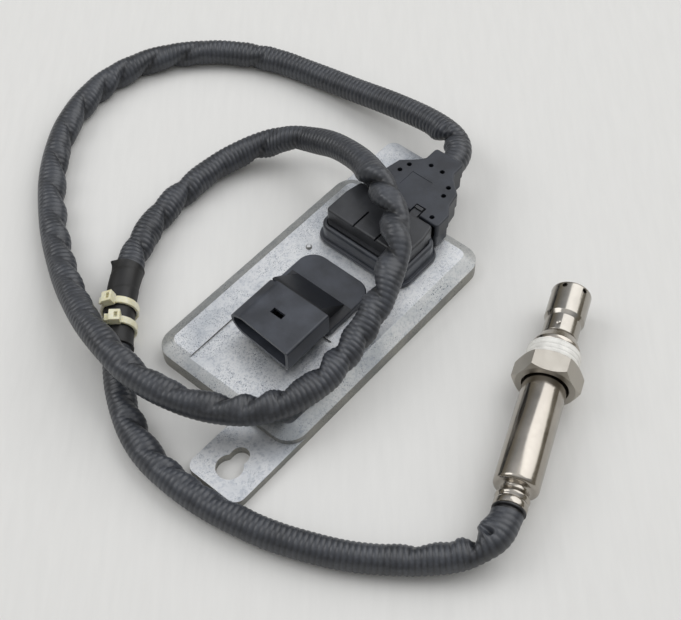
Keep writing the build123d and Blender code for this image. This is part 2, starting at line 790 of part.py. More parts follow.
def outlet_bores():
    """Stepped bore of the outlet: conduit seat outside, lead throat inside."""
    seat_start = route[0][0]
    throat_start = outlet_end_x - outlet_length - throat_overlap
    line = Pos(0, connector_y, outlet_z) * Rot(0, 90, 0)
    seat = post(0, 0, conduit_radius + close_gap, seat_start, outlet_end_x + margin)
    throat = post(0, 0, lead_throat_radius, throat_start, seat_start + overlap)
    return line * (seat + throat)


def make_backshell_upper():
    """Upper half: roof with holes, notches for the hooks, and half of the outlet."""
    height = backshell_top_z - backshell_split_z
    shell = Pos(0, 0, backshell_split_z) * extrude(backshell_outline(0), height)
    shell = fillet(shell.edges().filter_by(Axis.Z), backshell_corner)
    shell = fillet(shell.edges().group_by(Axis.Z)[-1], backshell_edge_radius)
    room = height - backshell_wall
    shell -= Pos(0, 0, backshell_split_z) * extrude(hollow_outline(0), room)
    shell -= outlet_bores()
    for station, offset in backshell_holes:
        for side in (-1, 1):
            shell -= post(backshell_front_x + station, connector_y + side * offset, backshell_hole_radius,
                          backshell_top_z - backshell_wall - overlap, backshell_top_z + margin)
    for side in (-1, 1):
        y = connector_y + side * hook_offset
        notch_y = (y - backshell_notch[1] / 2, y + backshell_notch[1] / 2)
        notch_x = (backshell_front_x - margin, backshell_front_x + backshell_notch[0])
        notch_z = (backshell_top_z - backshell_notch[2], backshell_top_z + margin)
        shell -= block(notch_x, notch_y, notch_z)
    field_x = backshell_front_x + backshell_field_start
    field_half = backshell_field[1] / 2
    field_middle = connector_y + backshell_field_offset
    shell -= block((field_x, field_x + backshell_field[0]),
                   (field_middle - field_half, field_middle + field_half),
                   (backshell_top_z - backshell_field[2], backshell_top_z + margin))
    return shell


def make_backshell_lower():
    """Lower half: tray a little narrower than the roof, with the other half of the outlet."""
    height = backshell_split_z - backshell_low_z
    shell = Pos(0, 0, backshell_low_z) * extrude(backshell_outline(backshell_inset), height)
    shell = fillet(shell.edges().filter_by(Axis.Z), backshell_corner)
    shell = fillet(shell.edges().group_by(Axis.Z)[0], backshell_edge_radius)
    room_low = backshell_low_z + backshell_wall
    shell -= Pos(0, 0, room_low) * extrude(hollow_outline(backshell_inset), height)
    return shell - outlet_bores()


# Cable

def corner_radii(points):
    """Arc radius at each corner of the route, as large as its two runs allow."""
    radii = []
    for before, corner, after in zip(points, points[1:], points[2:]):
        run_in = Vector(*corner) - Vector(*before)
        run_out = Vector(*after) - Vector(*corner)
        shorter = min(run_in.length, run_out.length)
        half_turn = radians(run_in.get_angle(run_out)) / 2
        radii.append(0.45 * shorter / tan(half_turn))
    return radii


def conduit_path():
    """Centre line of the cable: straight runs joined by tangent arcs."""
    return FilletPolyline(*route, radius=corner_radii(route)).wire()


def along(path, station):
    """Plane across the path at a share of its length."""
    return Plane(origin=path.position_at(station), z_dir=path.tangent_at(station))


def make_conduit(path):
    """Outer surface of the ribbed conduit as a plain tube."""
    section = along(path, 0) * Circle(conduit_radius)
    return sweep(section, path=path)


def make_tape(path):
    """Tape wound over the conduit between two stations."""
    piece = path.trim(tape_from, tape_to)
    inner = conduit_radius + touch_gap
    section = along(piece, 0) * (Circle(inner + tape_thickness) - Circle(inner))
    return sweep(section, path=piece)


def make_tie(path, station, head_turn):
    """Cable tie round the tape: strap, locking head and trimmed tail."""
    inner = conduit_radius + tape_thickness + 3 * touch_gap
    frame = along(path, station)
    side = Vector(0, 0, 1).cross(frame.z_dir).normalized()
    frame = Plane(origin=frame.origin, x_dir=side.cross(frame.z_dir) * -1, z_dir=frame.z_dir)
    strap = Pos(0, 0, -tie_width / 2) * extrude(
        Circle(inner + tie_thickness) - Circle(inner), tie_width)
    head_low = inner + tie_head_lift
    head = Pos(head_low + tie_head[2] / 2, 0, 0) * Box(tie_head[2], tie_head[1], tie_head[0])
    head = fillet(head.edges(), tie_head_edge)
    tail_y = (tie_head[1] / 2 - overlap, tie_head[1] / 2 + tie_tail[1] - overlap)
    tail_x = (head_low + tie_tail_lift - tie_tail[0] / 2, head_low + tie_tail_lift + tie_tail[0] / 2)
    tail = block(tail_x, tail_y, (-tie_width / 2, tie_width / 2))
    tie = strap + head + tail
    tie -= Cylinder(inner, tie_head[0] + 2 * margin)
    return frame.location * Rot(0, 0, head_turn) * tie


# Probe

def make_grommet():
    """Rubber plug in the sleeve's neck that the conduit butts against."""
    seat = neck_inner_radius - touch_gap
    rim_end = neck_start - touch_gap
    body = turned((0, grommet_start), (grommet_radius, grommet_start), (grommet_radius, rim_end),
                  (seat, rim_end), (seat, neck_end), (0, neck_end))
    return body - probe_lead_bars(grommet_start - margin, neck_end + margin, touch_gap)


def probe_lead_bars(start, end, clearance):
    """Round bars on the leads' circle between two stations."""
    bars = []
    for k in range(probe_lead_count):
        place = Rot(0, 0, 360 / probe_lead_count * k) * Pos(probe_lead_circle, 0, 0)
        bars.append((place * bar(lead_radius + clearance, start, end)).solid())
    return Compound(children=bars)


def make_probe_leads():
    """Leads from the conduit's end through the grommet to the contact holder."""
    return probe_lead_bars(grommet_start, holder_start, 0)


def make_outer_sleeve():
    """Drawn steel sleeve: crimped neck, shoulder and long tube."""
    outer = [(neck_radius, neck_start)]
    half_floor = neck_groove_floor / 2
    for groove in neck_grooves:
        outer += [(neck_radius, groove - neck_groove_width / 2), (neck_groove_radius, groove - half_floor),
                  (neck_groove_radius, groove + half_floor), (neck_radius, groove + neck_groove_width / 2)]
    outer += [(neck_radius, neck_end), (sleeve_shoulder[1], sleeve_shoulder[0]),
              (sleeve_radius, sleeve_start), (sleeve_radius, sleeve_end)]
    inside = sleeve_radius - sleeve_wall
    inner = [(inside, sleeve_end), (inside, sleeve_start + sleeve_wall),
             (neck_inner_radius, sleeve_shoulder[0] + sleeve_wall), (neck_inner_radius, neck_start)]
    return turned(*outer, *inner)


def element_slot(clearance, start, end):
    """Rectangular column round the sensing element."""
    x = element_size[0] / 2 + clearance
    y = element_size[1] / 2 + clearance
    return block((-x, x), (-y, y), (start, end))


def make_sensing_element():
    """Layered ceramic strip that runs from the contacts to the tip."""
    return element_slot(0, element_start, element_end)


def strip_places():
    """Centre of each contact strip, on both faces of the sensing element."""
    x = element_size[0] / 2 + touch_gap + terminal_strip[0] / 2
    return [(side * x, row * terminal_strip_pitch) for side in (-1, 1) for row in (-1, 0, 1)]


def make_probe_terminals():
    """Spring strips pressed against the sensing element."""
    start = element_start + terminal_strip_inset
    strips = []
    for x, y in strip_places():
        thick = (x - terminal_strip[0] / 2, x + terminal_strip[0] / 2)
        wide = (y - terminal_strip[1] / 2, y + terminal_strip[1] / 2)
        strips.append(block(thick, wide, (start, start + terminal_strip[2])).solid())
    return Compound(children=strips)


def make_contact_holder():
    """Ceramic holder that clamps the contact strips, inside the sleeve."""
    radius = sleeve_radius - sleeve_wall - close_gap
    holder = bar(radius, holder_start, holder_end)
    holder = chamfer(holder.edges().filter_by(GeomType.CIRCLE), holder_chamfer)
    x = element_size[0] / 2 + touch_gap + terminal_strip[0] + touch_gap
    y = element_size[1] / 2 + close_gap
    room = block((-x, x), (-y, y), (element_start, holder_end + margin))
    return holder - room


def make_rear_insulator():
    """Ceramic bush behind the packing."""
    bush = bar(body_bore_radius - touch_gap, body_start, rear_insulator_end)
    return bush - element_slot(touch_gap, body_start - margin, rear_insulator_end + margin)


def make_packing():
    """Pressed powder that seals the body's bore around the element."""
    packing = bar(body_bore_radius - touch_gap, rear_insulator_end, powder_end)
    return packing - element_slot(touch_gap, rear_insulator_end - margin, powder_end + margin)


def make_front_insulator():
    """Ceramic bush that seats on the step in the body's bore."""
    bush = bar(body_bore_radius - touch_gap, powder_end, body_step_start)
    return bush - element_slot(touch_gap, powder_end - margin, body_step_start + margin)


def make_probe_body():
    """Turned steel body with the seat flange that the union nut presses on."""
    inside = sleeve_radius - sleeve_wall - touch_gap
    body = turned(
        (body_bore_radius, body_start), (inside, body_start), (inside, sleeve_end + touch_gap),
        (sleeve_radius, sleeve_end + touch_gap), (sleeve_radius, flange_stations[0]),
        (flange_radii[0], flange_stations[0]), (flange_radii[1], flange_stations[1]),
        (flange_radii[2], flange_stations[2]), (nose_radius, band_start - touch_gap),
        (nose_radius, nose_end), (body_step_radius, nose_end),
        (body_step_radius, body_step_start), (body_bore_radius, body_step_start))
    return body


def make_union_nut():
    """Hexagon nut with a threaded shank, free to turn on the sleeve."""
    bore = sleeve_radius + nut_running_gap
    hexagon = RegularPolygon(hexagon_across_flats / 2, 6, major_radius=False, rotation=30)
    head = Pos(0, 0, nut_start) * extrude(hexagon, hexagon_length)
    corner = hexagon_across_flats / 2 / cos(pi / 6)
    flat = hexagon_across_flats / 2
    head_end = nut_start + hexagon_length
    envelope = turned((0, nut_start), (flat, nut_start), (corner, nut_start + hexagon_chamfers[0]),
                      (corner, head_end - hexagon_chamfers[1]), (flat, head_end), (0, head_end))
    head &= envelope
    shank = bar(nut_thread_radius, head_end - overlap, nut_end)
    shank = chamfer(shank.edges().group_by(Axis.Z)[-1], nut_tip_chamfer)
    nut = head + shank - bar(bore, nut_start - margin, nut_end + margin)
    return nut - bar(nut_recess_radius, nut_start - margin, nut_start + nut_recess_depth)


def make_thread_coating():
    """White thread coating on the nut's shank."""
    start = nut_start + hexagon_length + coating_margin
    coat = ring(coating_radius, nut_thread_radius + touch_gap, start, nut_end - nut_tip_chamfer)
    front = coat.edges().filter_by(GeomType.CIRCLE).group_by(Axis.Z)[-1].sort_by(Edge.length)[-1]
    return chamfer(front, coating_chamfer)


def make_tube_collar():
    """Band that welds the protection tubes to the body's nose."""
    collar = ring(band_radius, nose_radius + touch_gap, band_start, band_end)
    collar = fillet(collar.edges().group_by(Axis.Z)[0].sort_by(Edge.length)[-1], band_edge_radius)
    dimple = Rot(0, 0, dimple_turn) * Pos(band_radius + dimple_radius - dimple_depth, 0, dimple_station)
    return collar - dimple * Sphere(dimple_radius)


def gas_holes(station, radius, turn):
    """Radial drills evenly spaced round the tip."""
    drills = []
    for k in range(gas_hole_count):
        angle = turn + 360 / gas_hole_count * k
        drills.append(Pos(0, 0, station) * Rot(0, 0, angle) * Pos(tip_radius, 0, 0) * Rot(0, 90, 0)
                      * Cylinder(radius, tip_radius))
    return drills


def make_tip_tube():
    """Outer protection tube with six gas holes near its closed end."""
    outer = turned((0, band_end + touch_gap), (band_radius, band_end + touch_gap), (tip_radius, tip_start),
                   (tip_radius, tip_end), (0, tip_end))
    outer = fillet(outer.edges().group_by(Axis.Z)[-1], tip_edge_radius)
    inner_radius = tip_radius - tip_wall
    seat = nose_radius + touch_gap
    outer -= turned((0, band_end - margin), (seat, band_end - margin), (seat, tip_start - tip_step[0]),
                    (inner_radius, tip_start + tip_step[1]), (inner_radius, tip_end - tip_wall),
                    (0, tip_end - tip_wall))
    for drill in gas_holes(gas_hole_station, gas_hole_radius, gas_hole_turn):
        outer -= drill
    return outer


def make_inner_tube():
    """Inner protection tube around the element, seated on the body's nose."""
    start = nose_end + touch_gap
    tube = bar(inner_tube_radius, start, inner_tube_end)
    tube = fillet(tube.edges().group_by(Axis.Z)[-1], tip_edge_radius)
    tube -= bar(inner_tube_radius - inner_tube_wall, start - margin, inner_tube_end - inner_tube_wall)
    tube -= bar(inner_tube_vent, inner_tube_end - margin, inner_tube_end + margin)
    for drill in gas_holes(start + inner_hole_reach, inner_hole_radius, 0.0):
        tube -= drill
    return tube


def build_parts():
    """Every piece by the name of its node."""
    vehicle_pins = make_vehicle_pins()
    sensor_pins = make_sensor_pins()
    path = conduit_path()
    parts = {
        "housing": make_housing(),
        "base_plate": make_base_plate(),
        "base_seal": make_base_seal(),
        "circuit_board": make_circuit_board(),
        "board_screws": make_board_screws(),
        "processor": make_processor(),
        "driver_chips": make_drivers(),
        "block_capacitors": make_block_capacitors(),
        "chip_capacitors": make_chip_capacitors(),
        "vehicle_pins": vehicle_pins,
        "vehicle_connector": make_vehicle_connector(vehicle_pins),
        "vehicle_gasket": make_vehicle_gasket(),
        "sensor_pins": sensor_pins,
        "sensor_socket": make_sensor_socket(sensor_pins),
        "sensor_gasket": make_sensor_gasket(),
        "plug_body": make_plug_body(),
        "plug_seal": make_plug_seal(),
        "plug_terminals": make_plug_terminals(),
        "wire_leads": make_wire_leads(),
        "wire_seal": make_wire_seal(),
        "backshell_upper": make_backshell_upper(),
        "backshell_lower": make_backshell_lower(),
        "conduit": make_conduit(path),
        "tape_wrap": make_tape(path),
    }
    for number, (station, turn) in enumerate(zip(tie_stations, tie_head_turns), start=1):
        parts[f"cable_tie_{number}"] = make_tie(path, station, turn)
    probe = {
        "cable_grommet": make_grommet(),
        "probe_leads": make_probe_leads(),
        "outer_sleeve": make_outer_sleeve(),
        "contact_holder": make_contact_holder(),
        "probe_terminals": make_probe_terminals(),
        "sensing_element": make_sensing_element(),
        "rear_insulator": make_rear_insulator(),
        "powder_packing": make_packing(),
        "front_insulator": make_front_insulator(),
        "probe_body": make_probe_body(),
        "union_nut": make_union_nut(),
        "thread_coating": make_thread_coating(),
        "tube_collar": make_tube_collar(),
        "tip_tube": make_tip_tube(),
        "inner_tube": make_inner_tube(),
    }
    parts.update({name: on_probe(piece) for name, piece in probe.items()})
    return parts


def report_cable(conduit):
    """Print the cable's length, its arcs and how well its volume matches its section."""
    length = conduit_path().length
    ratio = conduit.volume / (pi * conduit_radius ** 2 * length)
    print("conduit length mm", round(length, 1), "volume ratio", round(ratio, 5))
    print("conduit radii mm", [round(radius, 1) for radius in corner_radii(route)])


def main():
    """Build, export and report."""
    os.makedirs("parts", exist_ok=True)
    parts = build_parts()
    for name, piece in parts.items():
        export_step(piece, f"parts/{name}.step")
    report_cable(parts["conduit"])


main()
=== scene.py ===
import json
import random
from bisect import bisect_left, bisect_right
from math import cos, exp, pi, radians, sin

import bpy
from mathutils import Matrix, Vector


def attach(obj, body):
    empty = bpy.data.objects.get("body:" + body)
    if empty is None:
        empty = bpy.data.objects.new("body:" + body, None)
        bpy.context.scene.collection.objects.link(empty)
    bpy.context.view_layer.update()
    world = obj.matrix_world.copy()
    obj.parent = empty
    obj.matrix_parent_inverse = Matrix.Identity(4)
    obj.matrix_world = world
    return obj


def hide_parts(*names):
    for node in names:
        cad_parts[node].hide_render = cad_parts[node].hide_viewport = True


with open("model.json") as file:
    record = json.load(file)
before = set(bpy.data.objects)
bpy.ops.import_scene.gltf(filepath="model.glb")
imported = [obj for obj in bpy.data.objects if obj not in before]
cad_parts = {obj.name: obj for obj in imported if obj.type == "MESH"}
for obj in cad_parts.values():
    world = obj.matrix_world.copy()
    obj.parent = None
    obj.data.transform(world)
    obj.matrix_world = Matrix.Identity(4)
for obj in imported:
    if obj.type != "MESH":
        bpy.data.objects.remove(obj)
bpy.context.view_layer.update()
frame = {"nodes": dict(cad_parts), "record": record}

bl_info = {
    "name": "Nitrogen oxide sensor",
    "version": (1, 0, 0),
    "blender": (4, 5, 0),
    "location": "View3D > Sidebar > Sensor",
    "description": "Casting, connectors, ribbed cable and screw-in probe of an exhaust sensor",
    "category": "Object",
}

MM = 0.001
SAME_PLACE = 0.002 * MM
SLOT_OF = {part["node"]: part["material_slot"] for part in frame["record"]["subparts"]}
SLOT_COLOUR = {entry["slot"]: entry["base_color"] for entry in frame["record"]["materials"]}

# Centre line of the cable, in millimetres, from the backshell to the probe
ROUTE = [
    (73.8, -0.5, 16.5), (81.5, -0.5, 16.5), (88.4, 3.2, 16.4), (92.6, 10.6, 15.8),
    (94.2, 21.5, 14.4), (95.0, 37.0, 11.8), (94.2, 56.0, 8.4), (92.0, 81.0, 5.6),
    (87.0, 106.0, 5.4), (74.0, 129.0, 5.4), (54.0, 145.5, 5.4), (30.0, 151.5, 5.4),
    (6.0, 147.0, 5.4), (-17.0, 133.0, 5.4), (-36.0, 113.0, 5.4), (-51.5, 90.6, 7.0),
    (-64.3, 65.9, 13.6), (-72.4, 42.2, 19.8), (-75.5, 19.0, 19.2), (-69.0, -4.0, 17.4),
    (-56.0, -22.0, 16.6), (-36.0, -29.5, 16.6), (-14.0, -28.0, 18.8), (7.6, -24.8, 26.0),
    (25.2, -16.7, 33.5), (39.2, 1.3, 34.1), (49.1, 23.2, 29.2), (53.5, 46.6, 20.0),
    (48.6, 65.8, 11.6), (34.0, 77.0, 6.6), (12.0, 80.0, 5.4), (-13.0, 78.0, 5.6),
    (-37.6, 67.0, 7.6), (-59.2, 49.4, 7.9), (-77.5, 31.0, 5.4), (-90.3, 7.0, 5.4),
    (-91.7, -20.2, 5.4), (-86.6, -47.2, 5.4), (-77.0, -71.0, 5.4), (-66.0, -88.0, 5.5),
    (-54.5, -101.5, 6.9), (-45.5, -110.0, 9.8), (-38.3, -111.366, 11.0), (-30.653, -108.275, 11.0),
]

# Folds in the cable's wall: distance along it and turn about it (0 is right of its run, 90 on
# top, 180 left), then depth and width in millimetres, and slant across the ribs
FOLDS = [
    (22.3, 175, 2.2, 2.0, 0.5), (124.9, 10, 0.5, 1.6, 0.3), (125.7, 190, 0.9, 1.8, 0.6),
    (160.9, 185, 1.3, 2.0, 0.9), (177.1, 185, 1.5, 2.0, 0.9), (191.8, 180, 1.6, 2.0, 0.9),
    (202.7, 180, 1.5, 1.9, 0.9), (217.6, 180, 1.6, 2.0, 0.9), (234.7, 180, 1.5, 2.0, 0.9),
    (252.8, 180, 1.9, 2.0, 0.9), (268.4, 180, 1.5, 2.4, 0.8), (284.0, 178, 1.2, 2.4, 0.8),
    (298.6, 180, 1.6, 2.2, 0.8), (312.5, 180, 1.1, 2.0, 0.8), (326.3, 180, 1.7, 2.0, 0.9),
    (348.9, 178, 1.1, 2.2, 0.9), (364.5, 175, 0.9, 2.0, 0.8), (380.1, 180, 1.7, 2.1, 0.9),
    (399.1, 175, 1.3, 2.2, 0.9), (414.9, 170, 1.7, 2.0, 0.8), (425.4, 172, 1.6, 1.9, 0.8),
    (436.2, 172, 1.6, 1.9, 0.8), (452.8, 178, 1.6, 2.0, 0.7), (458.4, 2, 0.9, 2.2, 0.5),
    (464.0, 178, 1.4, 2.0, 0.7), (468.4, 4, 1.1, 2.0, 0.5), (478.7, 4, 0.8, 2.2, 0.5),
    (490.0, 165, 2.2, 2.2, 0.6), (506.0, 158, 2.7, 2.4, 0.6), (513.0, 10, 0.9, 2.0, 0.4),
    (522.5, 155, 2.9, 2.5, 0.6), (530.0, 12, 0.9, 2.2, 0.4), (539.0, 158, 3.0, 2.2, 0.6),
    (593.4, 182, 1.4, 4.6, 0.5), (611.9, 184, 1.5, 2.3, 0.8), (632.0, 182, 0.7, 2.4, 0.8),
    (647.3, 8, 0.8, 2.4, 0.5), (652.9, 182, 1.6, 1.9, 0.8), (662.0, 8, 0.6, 2.4, 0.5),
    (668.5, 180, 1.7, 1.9, 0.8), (681.1, 8, 0.7, 2.2, 0.5), (688.2, 178, 1.8, 2.0, 0.7),
    (761.0, 178, 1.0, 2.2, 0.8), (772.8, 178, 1.7, 2.0, 0.9), (787.7, 176, 1.4, 2.0, 0.9),
    (797.1, 176, 1.1, 2.0, 0.9), (806.0, 176, 0.5, 2.0, 0.8), (816.8, 176, 0.7, 2.2, 0.8),
    (886.3, 178, 0.9, 2.2, 0.6), (899.0, 178, 0.5, 2.0, 0.5), (905.6, 172, 3.0, 1.8, 0.3),
]

# Small dents, and swellings below zero: distance along the cable, turn about it, depth and radius
DENTS = [
    (911.6, 122, 3.0, 1.4), (912.0, 165, -2.1, 4.4), (917.0, 162, -1.1, 4.2), (908.0, 350, 1.2, 6.5),
    (24.0, 120, 0.9, 1.6),
]

# Heights that the cable's wall stays between
CABLE_LOW = 0.05 * MM
CABLE_TOP = 39.1 * MM

# How a fold's effect spreads, in millimetres along the cable: how far it is felt, the cable's
# radius for its slant, and the power that gathers it on its side of the cable
FOLD_SPAN = 26
WALL_RADIUS = 5.3
FOLD_POWER = 1.25

# Swelling beside a fold: share of the fold's depth, then place and width in widths of the fold
SWELLING = (0.36, 2.9, 1.5)

# Furthest that the wall moves: out by folds alone, then in and out by folds and dents together
FOLD_RISE = 0.9
RELIEF_RANGE = (-3.2, 2.4)

# Slow unevenness of the wall: depth and length in millimetres, and lobes round the cable
WAVES = [(0.06, 11, 2), (0.05, 4.3, 3)]
WAVE_MIDDLE = 0.06

# Flared end of the wall at the probe: rise in millimetres, reach, lobes round it and their share
CUFF = (0.45, 1.1 * MM, 3, 0.4)

# Painted shade in the rib valleys and folds: share that a rib's valley gets, and depth of a fold where the
# shade is darkest
RIB_SHADE_SHARE = 0.6
FOLD_SHADE_DEPTH = 2.2

# How narrow the valleys between the ribs are
RIB_POWER = 4

# How plainly the ribs show: distance along the cable in millimetres and share of the full depth
RIB_SHOW = [
    (0, 0.8), (130, 1.0), (170, 0.75), (220, 0.4), (260, 0.55), (330, 0.65), (380, 0.55),
    (410, 0.6), (445, 1.0), (480, 0.75), (500, 0.35), (550, 0.35), (580, 0.9), (690, 1.0),
    (760, 0.6), (800, 0.6), (850, 0.9), (900, 1.1), (922, 0.4),
]

# The probe's own axis: where its neck starts and how far it is turned from +X
PROBE_ORIGIN = (-27.5, -107.0, 11.0)
PROBE_TURN = radians(22.0)
ROUND_SIDES = 96


def length_property(name, description, millimetres):
    """Length setting with its default in millimetres."""
    return bpy.props.FloatProperty(
        name=name, description=description, default=millimetres * MM, unit="LENGTH")


def angle_property(name, description, degrees):
    """Angle setting with its default in degrees."""
    return bpy.props.FloatProperty(
        name=name, description=description, default=radians(degrees), subtype="ANGLE")


class CableSettings(bpy.types.PropertyGroup):
    """Sizes of the ribbed conduit, its tape and its ties."""

    diameter: length_property("Diameter", "Across the crests of the ribs", 10.6)
    length: length_property("Length", "Along the centre line", 922)
    rib_pitch: length_property("Rib pitch", "From one rib to the next", 2.0)
    rib_depth: length_property("Rib depth", "From a crest to the valley beside it", 0.3)
    fold_strength: bpy.props.FloatProperty(
        name="Folds", description="Share of the full depth of the folds in the wall",
        default=1.1, min=0, max=1.2)
    tape_start: length_property("Tape start", "Distance along the cable to the tape", 696.0)
    tape_end: length_property("Tape end", "Distance along the cable to the tape's far edge", 733.0)
    tape_thickness: length_property("Tape thickness", "All layers together", 0.8)
    tie_1: length_property("First tie", "Distance along the cable", 715.8)
    tie_2: length_property("Second tie", "Distance along the cable", 724.4)
    tie_turn_1: angle_property("First head", "Turn of the first tie's head from the top", 23.0)
    tie_turn_2: angle_property("Second head", "Turn of the second tie's head from the top", 0.0)


class EdgeSettings(bpy.types.PropertyGroup):
    """Rounding of cast, moulded and turned edges."""

    cast: length_property("Cast edges", "Rounding of the casting", 0.45)
    moulded: length_property("Moulded edges", "Rounding of the plastic pieces", 0.25)
    turned: length_property("Turned edges", "Rounding of the steel pieces", 0.18)


def colour_property(name, slot):
    """Colour setting whose default is the colour of a material slot."""
    return bpy.props.FloatVectorProperty(
        name=name, description=f"Main colour of the {name.lower()}", default=SLOT_COLOUR[slot],
        subtype="COLOR", size=3, min=0, max=1)


class FinishSettings(bpy.types.PropertyGroup):
    """Colours of the surfaces that show."""

    aluminium: colour_property("Cast aluminium", "cast_aluminium")
    connector: colour_property("Connector plastic", "connector_black")
    backshell: colour_property("Backshell plastic", "backshell_black")
    conduit: colour_property("Conduit", "conduit_black")
    tape: colour_property("Tape", "tape_black")
    nylon: colour_property("Cable ties", "tie_nylon")
    steel: colour_property("Sleeve steel", "sleeve_steel")
    nut: colour_property("Nut steel", "nut_steel")
    coating: colour_property("Thread coating", "coating_white")
    floor: bpy.props.FloatVectorProperty(
        name="Floor", description="Colour of the surface under the sensor", default=(0.76, 0.755, 0.735),
        subtype="COLOR", size=3, min=0, max=1)


class StageSettings(bpy.types.PropertyGroup):
    """Camera and lamps."""

    lens: bpy.props.FloatProperty(
        name="Lens", description="Focal length on a 36 mm wide sensor",
        default=69.21, subtype="DISTANCE_CAMERA")
    eye: bpy.props.FloatVectorProperty(
        name="Camera", description="Where the camera stands", default=(-0.2197, -0.2034, 0.3995),
        subtype="TRANSLATION", size=3)
    aim: bpy.props.FloatVectorProperty(
        name="Aim", description="Point at the middle of the picture", default=(0.0045, -0.0051, 0.0),
        subtype="TRANSLATION", size=3)
    roll: angle_property("Roll", "Turn of the picture about its middle", -1.12)
    lamp: bpy.props.FloatProperty(
        name="Main lamp", description="Power of the large soft lamp", default=40.0, subtype="POWER")
    sky: bpy.props.FloatProperty(
        name="Surroundings", description="Brightness of the room around the sensor", default=1.07, min=0)


# Helpers for pieces

def settings(group):
    """One of the scene's groups of settings."""
    return getattr(bpy.context.scene, group)


def select_only(piece):
    """Make one object the active and only selected one."""
    bpy.ops.object.select_all(action="DESELECT")
    piece.select_set(True)
    bpy.context.view_layer.objects.active = piece


def smoothed(piece, angle):
    """Shade a piece smooth across all but its sharp edges."""
    select_only(piece)
    bpy.ops.object.shade_smooth_by_angle(angle=radians(angle))


def start_fresh():
    """Leave nothing selected before a primitive is added."""
    bpy.ops.object.select_all(action="DESELECT")


def rounded(piece, width, segments=3, angle=30.0):
    """Round the sharp edges of a piece and shade it."""
    select_only(piece)
    bevel = piece.modifiers.new("rounded edges", "BEVEL")
    bevel.width = width
    bevel.segments = segments
    bevel.limit_method = "ANGLE"
    bevel.angle_limit = radians(angle)
    bevel.use_clamp_overlap = True
    bpy.ops.object.modifier_apply(modifier=bevel.name)
    bpy.ops.object.shade_smooth_by_angle(angle=radians(angle))
    flats = piece.modifiers.new("flat faces stay flat", "WEIGHTED_NORMAL")
    flats.keep_sharp = True
    bpy.ops.object.modifier_apply(modifier=flats.name)


def copied(node, name):
    """Copy of a CAD node with its corners merged and its flats in one face each."""
    piece = bpy.data.objects.new(name, frame["nodes"][node].data.copy())
    bpy.context.scene.collection.objects.link(piece)
    select_only(piece)
    bpy.ops.object.mode_set(mode="EDIT")
    bpy.ops.mesh.select_all(action="SELECT")
    bpy.ops.mesh.remove_doubles(threshold=SAME_PLACE)
    bpy.ops.mesh.dissolve_limited(angle_limit=radians(0.6))
    bpy.ops.object.mode_set(mode="OBJECT")
    return piece


def hand_over(piece, body, *nodes):
    """Give a finished piece its material and its body, and hide the nodes that it stands for."""
    slot = SLOT_OF[nodes[0]]
    piece.data.materials.clear()
    piece.data.materials.append(finish(slot))
    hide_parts(*nodes)
    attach(piece, body)


def probe_matrix():
    """Turn from upright, standing on the origin, to the probe's own axis."""
    along = Vector((cos(PROBE_TURN), sin(PROBE_TURN), 0))
    up = Vector((0, 0, 1))
    side = along.cross(up)
    place = Matrix.Translation(Vector(PROBE_ORIGIN) * MM)
    return place @ Matrix((up, side, along)).transposed().to_4x4()


def traced(name, start, steps):
    """Chain of edges from a point, in metres, left selected in edit mode."""
    start_fresh()
    bpy.ops.mesh.primitive_plane_add(size=MM)
    piece = bpy.context.object
    piece.name = name
    bpy.ops.object.mode_set(mode="EDIT")
    bpy.ops.mesh.select_all(action="SELECT")
    bpy.ops.mesh.merge(type="CENTER")
    bpy.ops.transform.translate(value=start)
    for step in steps:
        bpy.ops.mesh.extrude_vertices_move(TRANSFORM_OT_translate={"value": step})
    bpy.ops.mesh.select_all(action="SELECT")
    return piece


def turned_piece(name, profile):
    """Piece spun from a profile of (radius, station) points in millimetres, on the probe's axis."""
    steps = [((after[0] - before[0]) * MM, 0, (after[1] - before[1]) * MM)
             for before, after in zip(profile, profile[1:])]
    piece = traced(name, (profile[0][0] * MM, 0, profile[0][1] * MM), steps)
    bpy.ops.mesh.spin(steps=ROUND_SIDES, angle=2 * pi, center=(0, 0, 0), axis=(0, 0, 1))
    bpy.ops.mesh.select_all(action="SELECT")
    bpy.ops.mesh.remove_doubles(threshold=SAME_PLACE)
    bpy.ops.mesh.normals_make_consistent(inside=False)
    bpy.ops.object.mode_set(mode="OBJECT")
    piece.data.transform(probe_matrix())
    bpy.ops.object.shade_smooth_by_angle(angle=radians(35))
    return piece


def new_box(middle, size):
    """Box at a place, in metres, with its place and size in its mesh."""
    start_fresh()
    bpy.ops.mesh.primitive_cube_add(size=1, location=middle, scale=size)
    box = bpy.context.object
    bpy.ops.object.transform_apply(location=True, rotation=False, scale=True)
    return box


def take_out(piece, box):
    """Cut a box out of a piece and remove the box."""
    select_only(piece)
    cut = piece.modifiers.new("cut", "BOOLEAN")
    cut.object = box
    cut.operation = "DIFFERENCE"
    bpy.ops.object.modifier_apply(modifier=cut.name)
    bpy.data.objects.remove(box)


def join_into(piece, *others):
    """Join other pieces into one."""
    start_fresh()
    for part in (piece, *others):
        part.select_set(True)
    bpy.context.view_layer.objects.active = piece
    bpy.ops.object.join()


